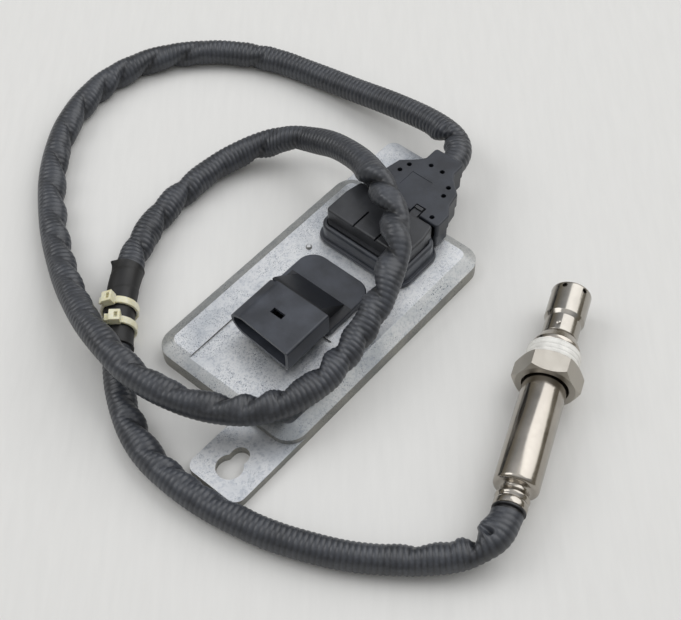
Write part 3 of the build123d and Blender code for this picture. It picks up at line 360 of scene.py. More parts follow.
def grid_piece(name, rings, close_ends=True, loop=False):
    """Tube skinned over rings of points, closed at its ends or back to its first ring."""
    sides = len(rings[0])
    points = [point for ring in rings for point in ring]
    faces = []
    pairs = [(k, k + 1) for k in range(len(rings) - 1)]
    if loop:
        pairs.append((len(rings) - 1, 0))
    for low, high in pairs:
        for i in range(sides):
            j = (i + 1) % sides
            faces.append((low * sides + i, low * sides + j, high * sides + j, high * sides + i))
    if close_ends:
        faces.append(tuple(reversed(range(sides))))
        faces.append(tuple((len(rings) - 1) * sides + i for i in range(sides)))
    mesh = bpy.data.meshes.new(name)
    mesh.from_pydata(points, [], faces)
    mesh.update()
    piece = bpy.data.objects.new(name, mesh)
    bpy.context.scene.collection.objects.link(piece)
    return piece


# Materials

def link_nodes(tree, kind, inputs=None, **values):
    """Add a shader node, set its values and link its inputs."""
    node = tree.nodes.new(kind)
    for key, value in values.items():
        if key in node.inputs:
            node.inputs[key].default_value = value
        else:
            setattr(node, key, value)
    for key, source in (inputs or {}).items():
        tree.links.new(source, node.inputs[key])
    return node


def new_finish(name, colour, metallic, roughness):
    """Material with a principled shader and object coordinates."""
    material = bpy.data.materials.new(name)
    material.use_nodes = True
    tree = material.node_tree
    shader = tree.nodes["Principled BSDF"]
    shader.inputs["Base Color"].default_value = (*colour, 1)
    shader.inputs["Metallic"].default_value = metallic
    shader.inputs["Roughness"].default_value = roughness
    place = tree.nodes.new("ShaderNodeTexCoord").outputs["Object"]
    return material, tree, shader, place


def tinted(colour, factors):
    """A colour with each of its parts made stronger or weaker."""
    return tuple(part * factor for part, factor in zip(colour, factors))


def shade(colour, factor):
    """Lighter or darker version of a colour."""
    return tuple(min(1.0, part * factor) for part in colour)


def ramp(tree, source, stops):
    """Colour ramp over (position, colour) stops."""
    node = tree.nodes.new("ShaderNodeValToRGB")
    elements = node.color_ramp.elements
    while len(elements) < len(stops):
        elements.new(0.5)
    for element, (position, colour) in zip(elements, stops):
        element.position = position
        element.color = (*colour, 1)
    tree.links.new(source, node.inputs["Fac"])
    return node.outputs["Color"]


def value_range(tree, source, low, high, start=0.3, end=0.7):
    """Map a texture's values to a range."""
    limits = {"From Min": start, "From Max": end, "To Min": low, "To Max": high}
    return link_nodes(tree, "ShaderNodeMapRange", {"Value": source}, **limits).outputs["Result"]


def mapped(tree, place, **values):
    """Coordinates turned by a Rotation or stretched by a Scale."""
    return link_nodes(tree, "ShaderNodeMapping", {"Vector": place}, **values).outputs["Vector"]


def noise_field(tree, place, scale, detail=4.0, roughness=0.55):
    """Noise texture of a size in cells per metre."""
    node = link_nodes(tree, "ShaderNodeTexNoise", {"Vector": place},
                      Scale=scale, Detail=detail, Roughness=roughness)
    return node.outputs["Fac"]


def mixed(tree, factor, first, second, blend="MIX"):
    """Blend two colours, each a socket or a plain colour, by a factor."""
    node = tree.nodes.new("ShaderNodeMix")
    node.data_type = "RGBA"
    node.blend_type = blend
    for index, value in ((0, factor), (6, first), (7, second)):
        socket = node.inputs[index]
        if isinstance(value, bpy.types.NodeSocket):
            tree.links.new(value, socket)
        elif index == 0:
            socket.default_value = value
        else:
            socket.default_value = (*value, 1)
    return node.outputs[2]


def bumped(tree, shader, height, distance, strength, normal=None):
    """Relief from a height field, over an earlier relief if there is one."""
    inputs = {"Height": height}
    if normal is not None:
        inputs["Normal"] = normal
    node = link_nodes(tree, "ShaderNodeBump", inputs, Strength=strength, Distance=distance)
    tree.links.new(node.outputs["Normal"], shader.inputs["Normal"])
    return node.outputs["Normal"]


def cast_metal(slot, colour):
    """Die cast aluminium: pale grey with clusters of fine bluish specks and shallow pits, and painted shade
    on faces that tilt away from straight up.
    """
    material, tree, shader, place = new_finish(slot, colour, 0.72, 0.45)
    patches = noise_field(tree, place, 55.0, 4.0)
    grain = noise_field(tree, place, 900.0, 5.0, 0.65)
    specks = noise_field(tree, place, 2100.0, 3.0, 0.6)
    base = ramp(tree, patches, [(0.32, tinted(colour, (0.72, 0.745, 0.78))), (0.6, shade(colour, 1.06))])
    mottle = ramp(tree, grain, [(0.34, (0.66, 0.69, 0.74)), (0.52, (1, 1, 1))])
    base = mixed(tree, 0.8, base, mottle, "MULTIPLY")
    cluster = value_range(tree, noise_field(tree, place, 150.0, 4.0, 0.6), 0.0, 1.0, 0.42, 0.6)
    dots = ramp(tree, specks, [(0.36, (0.2, 0.23, 0.29)), (0.44, (1, 1, 1))])
    base = mixed(tree, cluster, base, mixed(tree, 1.0, base, dots, "MULTIPLY"))
    # Painted shade: faces that tilt away from straight up are darkened, down to about half on the sides and
    # underside, for the dark room the metal reflects.
    facing = link_nodes(tree, "ShaderNodeNewGeometry").outputs["True Normal"]
    facing = link_nodes(tree, "ShaderNodeSeparateXYZ", {0: facing}).outputs["Z"]
    facing_shade = ramp(tree, facing, [(0.15, (0.5, 0.48, 0.43)), (0.75, (0.6, 0.6, 0.57)), (0.97, (1, 1, 1))])
    base = mixed(tree, 1.0, base, facing_shade, "MULTIPLY")
    tree.links.new(base, shader.inputs["Base Color"])
    tree.links.new(value_range(tree, grain, 0.38, 0.54), shader.inputs["Roughness"])
    normal = bumped(tree, shader, grain, 0.05 * MM, 0.5)
    bumped(tree, shader, specks, 0.06 * MM, 0.5, normal)
    return material


def bright_steel(slot, colour, roughness):
    """Drawn or turned steel: warm, bright, with fine rings round the probe's axis."""
    material, tree, shader, place = new_finish(slot, colour, 1.0, roughness)
    turned = mapped(tree, place, Rotation=(0, 0, -PROBE_TURN))
    rings = noise_field(tree, mapped(tree, turned, Scale=(60.0, 1.0, 1.0)), 60.0, 5.0, 0.6)
    smears = noise_field(tree, place, 140.0, 4.0)
    base = ramp(tree, smears, [(0.3, shade(colour, 0.88)), (0.7, shade(colour, 1.08))])
    tree.links.new(base, shader.inputs["Base Color"])
    tree.links.new(value_range(tree, smears, roughness * 0.75, roughness * 1.5), shader.inputs["Roughness"])
    bumped(tree, shader, rings, 0.012 * MM, 0.5)
    return material


def sheet_metal(slot, colour, roughness=0.35):
    """Rolled or plated metal with a faint grain along X."""
    material, tree, shader, place = new_finish(slot, colour, 1.0, roughness)
    grain = noise_field(tree, mapped(tree, place, Scale=(1.0, 30.0, 30.0)), 60.0, 4.0)
    base = ramp(tree, grain, [(0.3, shade(colour, 0.85)), (0.7, shade(colour, 1.1))])
    tree.links.new(base, shader.inputs["Base Color"])
    bumped(tree, shader, grain, 0.02 * MM, 0.5)
    return material


def moulded_plastic(slot, colour, roughness=0.42, grain_size=2200.0, grain_depth=0.05):
    """Moulded plastic: fine texture, slightly uneven gloss and a little dust, and painted shade on the
    connector's marked slope.
    """
    material, tree, shader, place = new_finish(slot, colour, 0.0, roughness)
    texture = noise_field(tree, place, grain_size, 3.0, 0.6)
    clouds = noise_field(tree, place, 90.0, 4.0)
    dust = noise_field(tree, place, 2600.0, 2.0, 0.5)
    base = ramp(tree, clouds, [(0.35, shade(colour, 0.66)), (0.65, shade(colour, 1.3))])
    flecks = ramp(tree, dust, [(0.74, (0, 0, 0)), (0.8, (0.09, 0.09, 0.085))])
    base = mixed(tree, 1.0, base, flecks, "ADD")
    gloss = value_range(tree, clouds, roughness * 0.85, roughness * 1.2)
    # Painted shade: the marked faces of the slope behind the shroud are darkened to a third of the plastic's
    # colour.
    if slot == "connector_black":
        mark = link_nodes(tree, "ShaderNodeAttribute", attribute_name="slope_shade").outputs["Fac"]
        base = mixed(tree, mark, base, shade(colour, 0.3))
    tree.links.new(base, shader.inputs["Base Color"])
    tree.links.new(gloss, shader.inputs["Roughness"])
    bumped(tree, shader, texture, grain_depth * MM, 0.5)
    return material


def conduit_plastic(slot, colour):
    """Ribbed conduit: charcoal, waxy sheen, rubbed pale in places, with painted shade in its rib valleys and
    folds and a painted highlight on its crests.
    """
    material, tree, shader, place = new_finish(slot, colour, 0.0, 0.42)
    shader.inputs["Specular IOR Level"].default_value = 0.6
    clouds = noise_field(tree, place, 60.0, 5.0)
    rub = noise_field(tree, place, 420.0, 5.0, 0.7)
    dust = noise_field(tree, place, 2300.0, 2.0, 0.5)
    base = ramp(tree, clouds, [(0.34, shade(colour, 0.66)), (0.66, shade(colour, 1.26))])
    worn = ramp(tree, rub, [(0.5, (0, 0, 0)), (0.78, (0.03, 0.031, 0.033))])
    base = mixed(tree, 1.0, base, worn, "ADD")
    flecks = ramp(tree, dust, [(0.76, (0, 0, 0)), (0.82, (0.16, 0.16, 0.15))])
    base = mixed(tree, 1.0, base, flecks, "ADD")
    # Painted shade and highlight: rib valleys and folds darken to about a third, and crests lighten a
    # little.
    crease_shade = link_nodes(tree, "ShaderNodeAttribute", attribute_name="crease_shade").outputs["Fac"]
    depth = ramp(tree, crease_shade, [(0.0, (1.16, 1.16, 1.16)), (1.0, (0.35, 0.35, 0.36))])
    base = mixed(tree, 1.0, base, depth, "MULTIPLY")
    tree.links.new(base, shader.inputs["Base Color"])
    tree.links.new(value_range(tree, rub, 0.3, 0.46), shader.inputs["Roughness"])
    bumped(tree, shader, rub, 0.06 * MM, 0.5)
    return material


def rubber(slot, colour, roughness=0.55):
    """Soft black or grey rubber."""
    return moulded_plastic(slot, colour, roughness, 900.0, 0.04)


def nylon(slot, colour):
    """Natural nylon, a little translucent and yellowed."""
    material, tree, shader, place = new_finish(slot, colour, 0.0, 0.36)
    clouds = noise_field(tree, place, 260.0, 3.0)
    warm = tinted(colour, (0.97, 0.94, 0.76))
    base = ramp(tree, clouds, [(0.35, warm), (0.65, shade(colour, 1.12))])
    tree.links.new(base, shader.inputs["Base Color"])
    shader.inputs["Subsurface Weight"].default_value = 0.35
    shader.inputs["Subsurface Radius"].default_value = (1.0 * MM, 0.9 * MM, 0.6 * MM)
    shader.inputs["Subsurface Scale"].default_value = 1.0
    bumped(tree, shader, clouds, 0.05 * MM, 0.3)
    return material


def chalky(slot, colour, roughness=0.75, depth=0.12):
    """Dry white paste, ceramic or powder."""
    material, tree, shader, place = new_finish(slot, colour, 0.0, roughness)
    grain = noise_field(tree, place, 900.0, 5.0, 0.7)
    patches = noise_field(tree, place, 240.0, 3.0)
    base = ramp(tree, patches, [(0.3, shade(colour, 0.86)), (0.7, shade(colour, 1.1))])
    tree.links.new(base, shader.inputs["Base Color"])
    bumped(tree, shader, grain, depth * MM, 0.6)
    return material


FINISHES = {}


def finish(slot):
    """Material of a slot, made the first time that it is asked for."""
    if slot in FINISHES:
        return FINISHES[slot]
    chosen = settings("sensor_finish")
    colour = SLOT_COLOUR[slot]
    makers = {
        "cast_aluminium": lambda: cast_metal(slot, chosen.aluminium),
        "plate_aluminium": lambda: sheet_metal(slot, tinted(colour, (0.75, 0.75, 0.73))),
        "screw_steel": lambda: sheet_metal(slot, colour, 0.3),
        "tinned_contact": lambda: sheet_metal(slot, colour, 0.25),
        "sleeve_steel": lambda: bright_steel(slot, tinted(chosen.steel, (0.64, 0.635, 0.62)), 0.15),
        "body_steel": lambda: bright_steel(slot, tinted(colour, (0.72, 0.7, 0.67)), 0.2),
        "nut_steel": lambda: bright_steel(slot, tinted(chosen.nut, (0.76, 0.74, 0.7)), 0.36),
        "tube_steel": lambda: bright_steel(slot, tinted(colour, (0.67, 0.665, 0.645)), 0.16),
        "connector_black": lambda: moulded_plastic(slot, tinted(chosen.connector, (1.15, 1.22, 1.36)), 0.36),
        "plug_black": lambda: moulded_plastic(slot, chosen.connector, 0.38),
        "backshell_black": lambda: moulded_plastic(
            slot, tinted(chosen.backshell, (1.05, 1.12, 1.25)), 0.42, 1500.0, 0.07),
        "conduit_black": lambda: conduit_plastic(slot, tinted(chosen.conduit, (0.92, 0.97, 1.08))),
        "tape_black": lambda: moulded_plastic(
            slot, tinted(chosen.tape, (0.62, 0.62, 0.66)), 0.5, 500.0, 0.08),
        "tie_nylon": lambda: nylon(slot, chosen.nylon),
        "coating_white": lambda: chalky(slot, chosen.coating),
        "ceramic_white": lambda: chalky(slot, colour, 0.5, 0.03),
        "powder_grey": lambda: chalky(slot, colour, 0.9, 0.1),
        "grommet_rubber": lambda: rubber(slot, colour, 0.3),
        "gasket_rubber": lambda: rubber(slot, colour),
        "sealant": lambda: rubber(slot, colour, 0.5),
        "lead_insulation": lambda: rubber(slot, colour, 0.45),
    }
    maker = makers.get(slot, lambda: moulded_plastic(slot, colour))
    FINISHES[slot] = maker()
    return FINISHES[slot]


# Cable

class CablePath:
    """The cable's centre line, read from its spline and measured along its length."""

    def __init__(self, points):
        self.points = points
        self.marks = [0.0]
        for before, after in zip(points, points[1:]):
            self.marks.append(self.marks[-1] + (after - before).length)
        self.length = self.marks[-1]

    def place(self, distance):
        """Point at a distance from the start."""
        distance = min(max(distance, 0.0), self.length)
        index = min(bisect_right(self.marks, distance), len(self.marks) - 1)
        low, high = self.marks[index - 1], self.marks[index]
        return self.points[index - 1].lerp(self.points[index], (distance - low) / (high - low))

    def directions(self, distance):
        """Tangent, level direction across the cable and the direction up from it."""
        reach = 0.6 * MM
        tangent = (self.place(distance + reach) - self.place(distance - reach)).normalized()
        side = tangent.cross(Vector((0, 0, 1))).normalized()
        return tangent, side, side.cross(tangent)


def read_route():
    """Points along the NURBS spline whose control points are the route."""
    curve = bpy.data.curves.new("cable_route", "CURVE")
    curve.dimensions = "3D"
    curve.resolution_u = 20
    spline = curve.splines.new("NURBS")
    spline.points.add(len(ROUTE) - 1)
    for point, place in zip(spline.points, ROUTE):
        point.co = (*(part * MM for part in place), 1)
    spline.order_u = 3
    spline.use_endpoint_u = True
    holder = bpy.data.objects.new("cable_route", curve)
    line = bpy.data.meshes.new_from_object(holder)
    points = [vertex.co.copy() for vertex in line.vertices]
    bpy.data.objects.remove(holder)
    bpy.data.curves.remove(curve)
    bpy.data.meshes.remove(line)
    return CablePath(points)


def between(table, place):
    """Value from a table of (place, value) rows, on straight lines from row to row."""
    for (low, first), (high, second) in zip(table, table[1:]):
        if place <= high:
            return first + (second - first) * (place - low) / (high - low)
    return table[-1][1]


def turn_between(angle, middle):
    """Smallest turn from one angle to another, in radians."""
    return (angle - middle + pi) % (2 * pi) - pi


def fold_relief(distance, angle, folds, strength):
    """How far the wall moves in or out at a point, in millimetres, by its folds and swellings."""
    share, beside, breadth = SWELLING
    relief = 0.0
    for station, turn, depth, width, slant in folds:
        away = turn_between(angle, radians(turn))
        offset = abs(distance - station - slant * WALL_RADIUS * away)
        reach = ((1 + cos(away)) / 2) ** FOLD_POWER
        notch = exp(-offset / width)
        swelling = share * exp(-((offset - beside * width) / (breadth * width)) ** 2)
        relief += strength * depth * reach * (swelling - notch)
    relief = min(relief, FOLD_RISE)
    for station, turn, depth, radius in DENTS:
        across = WALL_RADIUS * turn_between(angle, radians(turn))
        relief -= strength * depth * exp(-((distance - station) ** 2 + across ** 2) / radius ** 2)
    return min(max(relief, RELIEF_RANGE[0]), RELIEF_RANGE[1])


def conduit_rings(path, cable, sides=32, steps_per_rib=6):
    """Rings of points over the ribs and folds of the conduit, and the painted shade at each point from its
    rib valley and folds.
    """
    count = round(path.length / cable.rib_pitch) * steps_per_rib
    chance = random.Random(3)
    phases = [chance.uniform(0, 2 * pi) for _ in WAVES]
    cuff_rise, cuff_reach, cuff_lobes, cuff_share = CUFF
    stations = [fold[0] for fold in FOLDS]
    rings = []
    crease_shades = []
    for k in range(count + 1):
        distance = path.length * k / count
        millimetres = distance / MM
        centre = path.place(distance)
        _, side, up = path.directions(distance)
        first = bisect_left(stations, millimetres - FOLD_SPAN)
        near = FOLDS[first:bisect_right(stations, millimetres + FOLD_SPAN)]
        groove = cable.rib_depth * between(RIB_SHOW, millimetres)
        groove *= cos(pi * distance / cable.rib_pitch) ** RIB_POWER
        ring = []
        for i in range(sides):
            angle = 2 * pi * i / sides
            outward = side * cos(angle) + up * sin(angle)
            wave = sum(depth * sin(millimetres / length + phase + lobes * angle)
                       for (depth, length, lobes), phase in zip(WAVES, phases))
            relief = fold_relief(millimetres, angle, near, cable.fold_strength)
            cuff = cuff_rise * exp(-(path.length - distance) / cuff_reach)
            cuff *= 1 + cuff_share * sin(cuff_lobes * angle)
            radius = cable.diameter / 2 - groove + (wave + relief + cuff - WAVE_MIDDLE) * MM
            # Painted shade: share of the rib's valley plus the depth of any fold, for the material to
            # darken.
            crease_shade = RIB_SHADE_SHARE * groove / cable.rib_depth + max(0.0, -relief) / FOLD_SHADE_DEPTH
            crease_shades.append(min(1.0, crease_shade))
            point = centre + outward * radius
            point.z = min(max(point.z, CABLE_LOW), CABLE_TOP)
            ring.append(point)
        rings.append(ring)
    return rings, crease_shades


def make_conduit(path, cable):
    """The ribbed conduit, skinned along the spline, with painted shade in its rib valleys and folds marked
    for its material.
    """
    rings, crease_shades = conduit_rings(path, cable)
    conduit = grid_piece("ribbed_conduit", rings)
    mark = conduit.data.attributes.new("crease_shade", "FLOAT", "POINT")
    mark.data.foreach_set("value", crease_shades)
    smoothed(conduit, 50)
    hand_over(conduit, "sensor", "conduit")
    return conduit


def make_tape(path, cable):
    """Tape wound over the conduit, with a step at each turn, flared ends and a torn corner."""
    bite, slack = 0.3 * MM, 0.2 * MM
    outer_radius = cable.diameter / 2 + cable.tape_thickness
    inner_radius = cable.diameter / 2 - bite
    sides, step = 64, 0.5 * MM
    winding_pitch, layer_rise = 9 * MM, 0.16 * MM
    flare_rise, flare_reach = 0.35 * MM, 1.2 * MM
    wobble_depth, wobble_length = 0.06 * MM, 5 * MM
    corner_rise, corner_reach = 1.2 * MM, 1.6 * MM
    corner_angle, corner_breadth = 0.5, 0.22
    count = round((cable.tape_end - cable.tape_start) / step)
    wobble = random.Random(11).uniform(0, 2 * pi)
    outer, inner = [], []
    for k in range(count + 1):
        distance = cable.tape_start + (cable.tape_end - cable.tape_start) * k / count
        edge = min(distance - cable.tape_start, cable.tape_end - distance)
        flare = flare_rise * exp(-edge / flare_reach)
        outer_ring, inner_ring = [], []
        centre = path.place(distance)
        _, side, up = path.directions(distance)
        for i in range(sides):
            angle = 2 * pi * i / sides
            outward = side * cos(angle) + up * sin(angle)
            turn = (distance / winding_pitch + angle / (2 * pi)) % 1.0
            layer = layer_rise * (1 - turn)
            relief = wobble_depth * sin(3 * angle + wobble + distance / wobble_length)
            corner = exp(-((angle - corner_angle) / corner_breadth) ** 2)
            corner *= exp(-(distance - cable.tape_start) / corner_reach)
            radius = outer_radius - slack + layer + relief + flare + corner_rise * corner
            outer_ring.append(centre + outward * radius)
            inner_ring.append(centre + outward * inner_radius)
        outer.append(outer_ring)
        inner.append(inner_ring)
    tape = grid_piece("tape_sleeve", outer + inner[::-1], close_ends=False, loop=True)
    smoothed(tape, 40)
    hand_over(tape, "sensor", "tape_wrap")
    return tape


# Cable tie, in metres. A size runs out from the cable, across the head and along the cable
TIE_PLAY = 0.05 * MM
TIE_THICKNESS = 1.1 * MM
TIE_WIDTH = 3.0 * MM
TIE_ROUNDING = 0.3 * MM
HEAD_LIFT = 0.3 * MM
HEAD_SIZE = (3.6 * MM, 4.3 * MM, 4.7 * MM)
WINDOW_SIZE = (3.0 * MM, 1.3 * MM, 2.3 * MM)
WINDOW_ACROSS = -0.5 * MM
TAIL_LIFT = 1.7 * MM
TAIL_ACROSS = 0.8 * MM
TAIL_REACH = 2.2 * MM


def make_tie(path, cable, number, distance, turn):
    """Cable tie: strap, locking head with its window, and cut tail."""
    inner = cable.diameter / 2 + cable.tape_thickness + TIE_PLAY
    start_fresh()
    bpy.ops.mesh.primitive_cylinder_add(
        vertices=72, radius=inner, depth=TIE_WIDTH, end_fill_type="NOTHING")
    tie = bpy.context.object
    tie.name = f"nylon_tie_{number}"
    wall = tie.modifiers.new("strap", "SOLIDIFY")
    wall.thickness = TIE_THICKNESS
    wall.offset = 1.0
    bpy.ops.object.modifier_apply(modifier=wall.name)
    head = new_box((inner + HEAD_LIFT + HEAD_SIZE[0] / 2, 0, 0), HEAD_SIZE)
    take_out(head, new_box((inner + HEAD_SIZE[0], WINDOW_ACROSS, 0), WINDOW_SIZE))
    tail_place = (inner + TAIL_LIFT, HEAD_SIZE[1] / 2 + TAIL_ACROSS, 0)
    tail = new_box(tail_place, (TIE_THICKNESS, TAIL_REACH, TIE_WIDTH))
    join_into(tie, head, tail)
    rounded(tie, TIE_ROUNDING, 3)
    tangent, side, up = path.directions(distance)
    outward = up * cos(turn) + side * sin(turn)
    place = Matrix((outward, tangent.cross(outward), tangent)).transposed().to_4x4()
    tie.data.transform(Matrix.Translation(path.place(distance)) @ place)
    hand_over(tie, "sensor", f"cable_tie_{number}")
    return tie


class SENSOR_OT_cable(bpy.types.Operator):
    """Model the ribbed cable with its tape and ties."""

    bl_idname = "sensor.cable"
    bl_label = "Cable"

    def execute(self, context):
        cable = settings("sensor_cable")
        path = read_route()
        conduit = make_conduit(path, cable)
        tape = make_tape(path, cable)
        ties = [
            make_tie(path, cable, 1, cable.tie_1, cable.tie_turn_1),
            make_tie(path, cable, 2, cable.tie_2, cable.tie_turn_2),
        ]
        return {"FINISHED"}


class SENSOR_OT_casting(bpy.types.Operator):
    """Model the cast lid with soft edges."""

    bl_idname = "sensor.casting"
    bl_label = "Casting"

    def execute(self, context):
        lid = copied("housing", "cast_lid")
        rounded(lid, settings("sensor_edges").cast, 3)
        hand_over(lid, "sensor", "housing")
        return {"FINISHED"}


MOULDINGS = {
    "sensor_socket": "cable_side_socket",
    "plug_body": "cable_plug",
    "backshell_upper": "backshell_roof",
    "backshell_lower": "backshell_tray",
}

# Section of the vehicle side shroud: (y, z) corners in millimetres, keyed on its far side
SHROUD_CORNERS = [
    (-15.2, 13.4), (8.6, 13.4), (11.6, 14.5), (13.6, 16.6), (14.2, 19.0), (13.5, 20.9), (9.1, 23.4),
    (-15.2, 23.4),
]
SHROUD_X = (-35.5, -13.3)
SHROUD_WALL = 1.3
SHROUD_ROUNDING = 0.95

# Latch window in the roof, and what is cleared off the pad, as ranges in millimetres
SHROUD_WINDOW = ((-25.5, -23.0), (-3.2, 2.2), (21.0, 24.0))
PAD_CUTS = [
    ((-36, SHROUD_X[1] - 0.01), (-16, 15), (13.2, 24)),
    ((-14, 0.3), (-16, 15), (12.45, 24)),
]

# Set-back of the mouth for each millimetre in Y, and how far its near side is from Y 0
MOUTH_SLANT = 0.06
MOUTH_NEAR_SIDE = 15.0

# Smooth slope that falls from the shroud's back to the pad: (x, z) corners and its sides in Y
SLOPE_CORNERS = [(-13.35, 12.3), (-13.35, 22.9), (-12.4, 22.7), (-10.9, 21.6), (0.1, 12.75), (0.4, 12.3)]
SLOPE_Y = (-10.8, 12.1)

# Middles of the faces painted with shade on the slope: range along X, the height that they lie above, and
# play in Y
SHADED_SLOPE_X = (-13.3, 0.5)
SHADED_SLOPE_ABOVE = 12.4
SHADED_SLOPE_PLAY = 0.1


def drawn_prism(name, corners, rounding, reach):
    """Prism from corner points, in millimetres, with rounded corners, pushed out along an axis."""
    steps = [(Vector(after) - Vector(before)) * MM for before, after in zip(corners, corners[1:])]
    piece = traced(name, Vector(corners[0]) * MM, steps)
    bpy.ops.mesh.edge_face_add()
    if rounding:
        bpy.ops.mesh.bevel(offset=rounding * MM, segments=6, affect="VERTICES")
        bpy.ops.mesh.select_all(action="SELECT")
    bpy.ops.mesh.extrude_region_move(TRANSFORM_OT_translate={"value": Vector(reach) * MM})
    bpy.ops.mesh.select_all(action="SELECT")
    bpy.ops.mesh.normals_make_consistent(inside=False)
    bpy.ops.object.mode_set(mode="OBJECT")
    return piece


def cut_box(piece, *ranges):
    """Take a box, given by its ranges in millimetres, out of a piece."""
    middle = [(low + high) / 2 * MM for low, high in ranges]
    size = [(high - low) * MM for low, high in ranges]
    take_out(piece, new_box(middle, size))


def make_shroud():
    """Open rounded shroud with an even wall and a latch window in its roof."""
    front, back = SHROUD_X
    corners = [(front, y, z) for y, z in SHROUD_CORNERS]
    shroud = drawn_prism("open_shroud", corners, SHROUD_ROUNDING, (back - front, 0, 0))
    for point in shroud.data.vertices:
        if point.co.x < (front + 0.01) * MM:
            point.co.x += MOUTH_SLANT * (point.co.y + MOUTH_NEAR_SIDE * MM)
    bpy.ops.object.mode_set(mode="EDIT")
    bpy.ops.mesh.select_mode(type="FACE")
    bpy.ops.mesh.select_all(action="DESELECT")
    bpy.ops.object.mode_set(mode="OBJECT")
    for face in shroud.data.polygons:
        face.select = face.normal.x < -0.9
    bpy.ops.object.mode_set(mode="EDIT")
    bpy.ops.mesh.delete(type="ONLY_FACE")
    bpy.ops.mesh.select_mode(type="VERT")
    bpy.ops.object.mode_set(mode="OBJECT")
    wall = shroud.modifiers.new("wall", "SOLIDIFY")
    wall.thickness = SHROUD_WALL * MM
    wall.offset = -1
    wall.use_even_offset = True
    bpy.ops.object.modifier_apply(modifier=wall.name)
    cut_box(shroud, *SHROUD_WINDOW)
    return shroud


def paint_slope_shade(piece, where):
    """Mark the faces that a test picks for painted shade, for the material to read."""
    mark = piece.data.attributes.new("slope_shade", "FLOAT", "FACE")
    for face, value in zip(piece.data.polygons, mark.data):
        value.value = 1.0 if where(face) else 0.0


def on_slope(face):
    """Whether a face is on the smooth slope behind the shroud."""
    x, y, z = face.center / MM
    beside = SLOPE_Y[0] - SHADED_SLOPE_PLAY < y < SLOPE_Y[1] + SHADED_SLOPE_PLAY
    behind = SHADED_SLOPE_X[0] < x < SHADED_SLOPE_X[1]
    return beside and behind and z > SHADED_SLOPE_ABOVE and face.normal.x > -0.5


class SENSOR_OT_vehicle_connector(bpy.types.Operator):
    """Model the vehicle side connector: pad, smooth slope and open shroud."""

    bl_idname = "sensor.vehicle_connector"
    bl_label = "Vehicle side connector"

    def execute(self, context):
        pad = copied("vehicle_connector", "vehicle_side_shroud")
        for ranges in PAD_CUTS:
            cut_box(pad, *ranges)
        shroud = make_shroud()
        corners = [(x, SLOPE_Y[0], z) for x, z in SLOPE_CORNERS]
        slope = drawn_prism("smooth_slope", corners, 0, (0, SLOPE_Y[1] - SLOPE_Y[0], 0))
        join_into(pad, shroud, slope)
        rounded(pad, settings("sensor_edges").moulded, 3)
        paint_slope_shade(pad, on_slope)
        hand_over(pad, "sensor", "vehicle_connector")
        return {"FINISHED"}


class SENSOR_OT_mouldings(bpy.types.Operator):
    """Model the socket, the cable's plug and the two halves of the backshell."""

    bl_idname = "sensor.mouldings"
    bl_label = "Socket, plug and backshell"

    def execute(self, context):
        for node, name in MOULDINGS.items():
            piece = copied(node, name)
            rounded(piece, settings("sensor_edges").moulded, 2)
            hand_over(piece, "sensor", node)
        return {"FINISHED"}


# Probe

SLEEVE_OUTER = [
    (4.8, -1.2), (5.75, -1.2), (5.95, -1.0), (6.02, -0.5), (6.02, 0.7), (5.92, 1.15), (5.72, 1.5),
    (5.62, 1.8), (5.72, 2.1), (5.98, 2.45), (6.12, 2.9), (6.12, 3.3), (5.98, 3.75), (5.6, 4.15),
    (5.2, 4.45), (5.02, 4.8), (5.0, 5.7), (5.1, 6.2), (5.5, 6.55), (6.4, 6.8), (7.2, 7.0), (7.7, 7.3),
    (8.0, 7.8), (8.1, 8.4), (8.1, 57.7), (8.0, 57.95), (7.5, 57.95),
]
SLEEVE_INNER = [(7.5, 9.2), (7.1, 8.3), (5.0, 7.7), (4.8, 7.3), (4.8, -1.2)]

# Rubber grommet: tail inside the cable's end, thin rim against the neck, then hidden inside it
GROMMET_PROFILE = [
    (3.9, -3.38), (4.9, -3.38), (4.9, -2.2), (5.7, -2.1), (5.95, -1.95), (6.0, -1.7), (5.95, -1.4),
    (5.75, -1.24), (4.75, -1.22), (4.75, 6.4), (3.9, 6.4), (3.9, -3.38),
]


class SENSOR_OT_probe(bpy.types.Operator):
    """Model the drawn sleeve, body, weld band, tip tube and rubber grommet."""

    bl_idname = "sensor.probe"
    bl_label = "Probe"

    def execute(self, context):
        sleeve = turned_piece("drawn_sleeve", SLEEVE_OUTER + SLEEVE_INNER)
        hand_over(sleeve, "sensor", "outer_sleeve")
        grommet = turned_piece("rubber_grommet", GROMMET_PROFILE)
        hand_over(grommet, "sensor", "cable_grommet")
        edge = settings("sensor_edges").turned
        for node, name in (("probe_body", "seat_body"), ("tube_collar", "weld_band"),
                           ("tip_tube", "tip_shield")):
            piece = copied(node, name)
            rounded(piece, edge, 2, 25.0)
            hand_over(piece, "sensor", node)
        return {"FINISHED"}


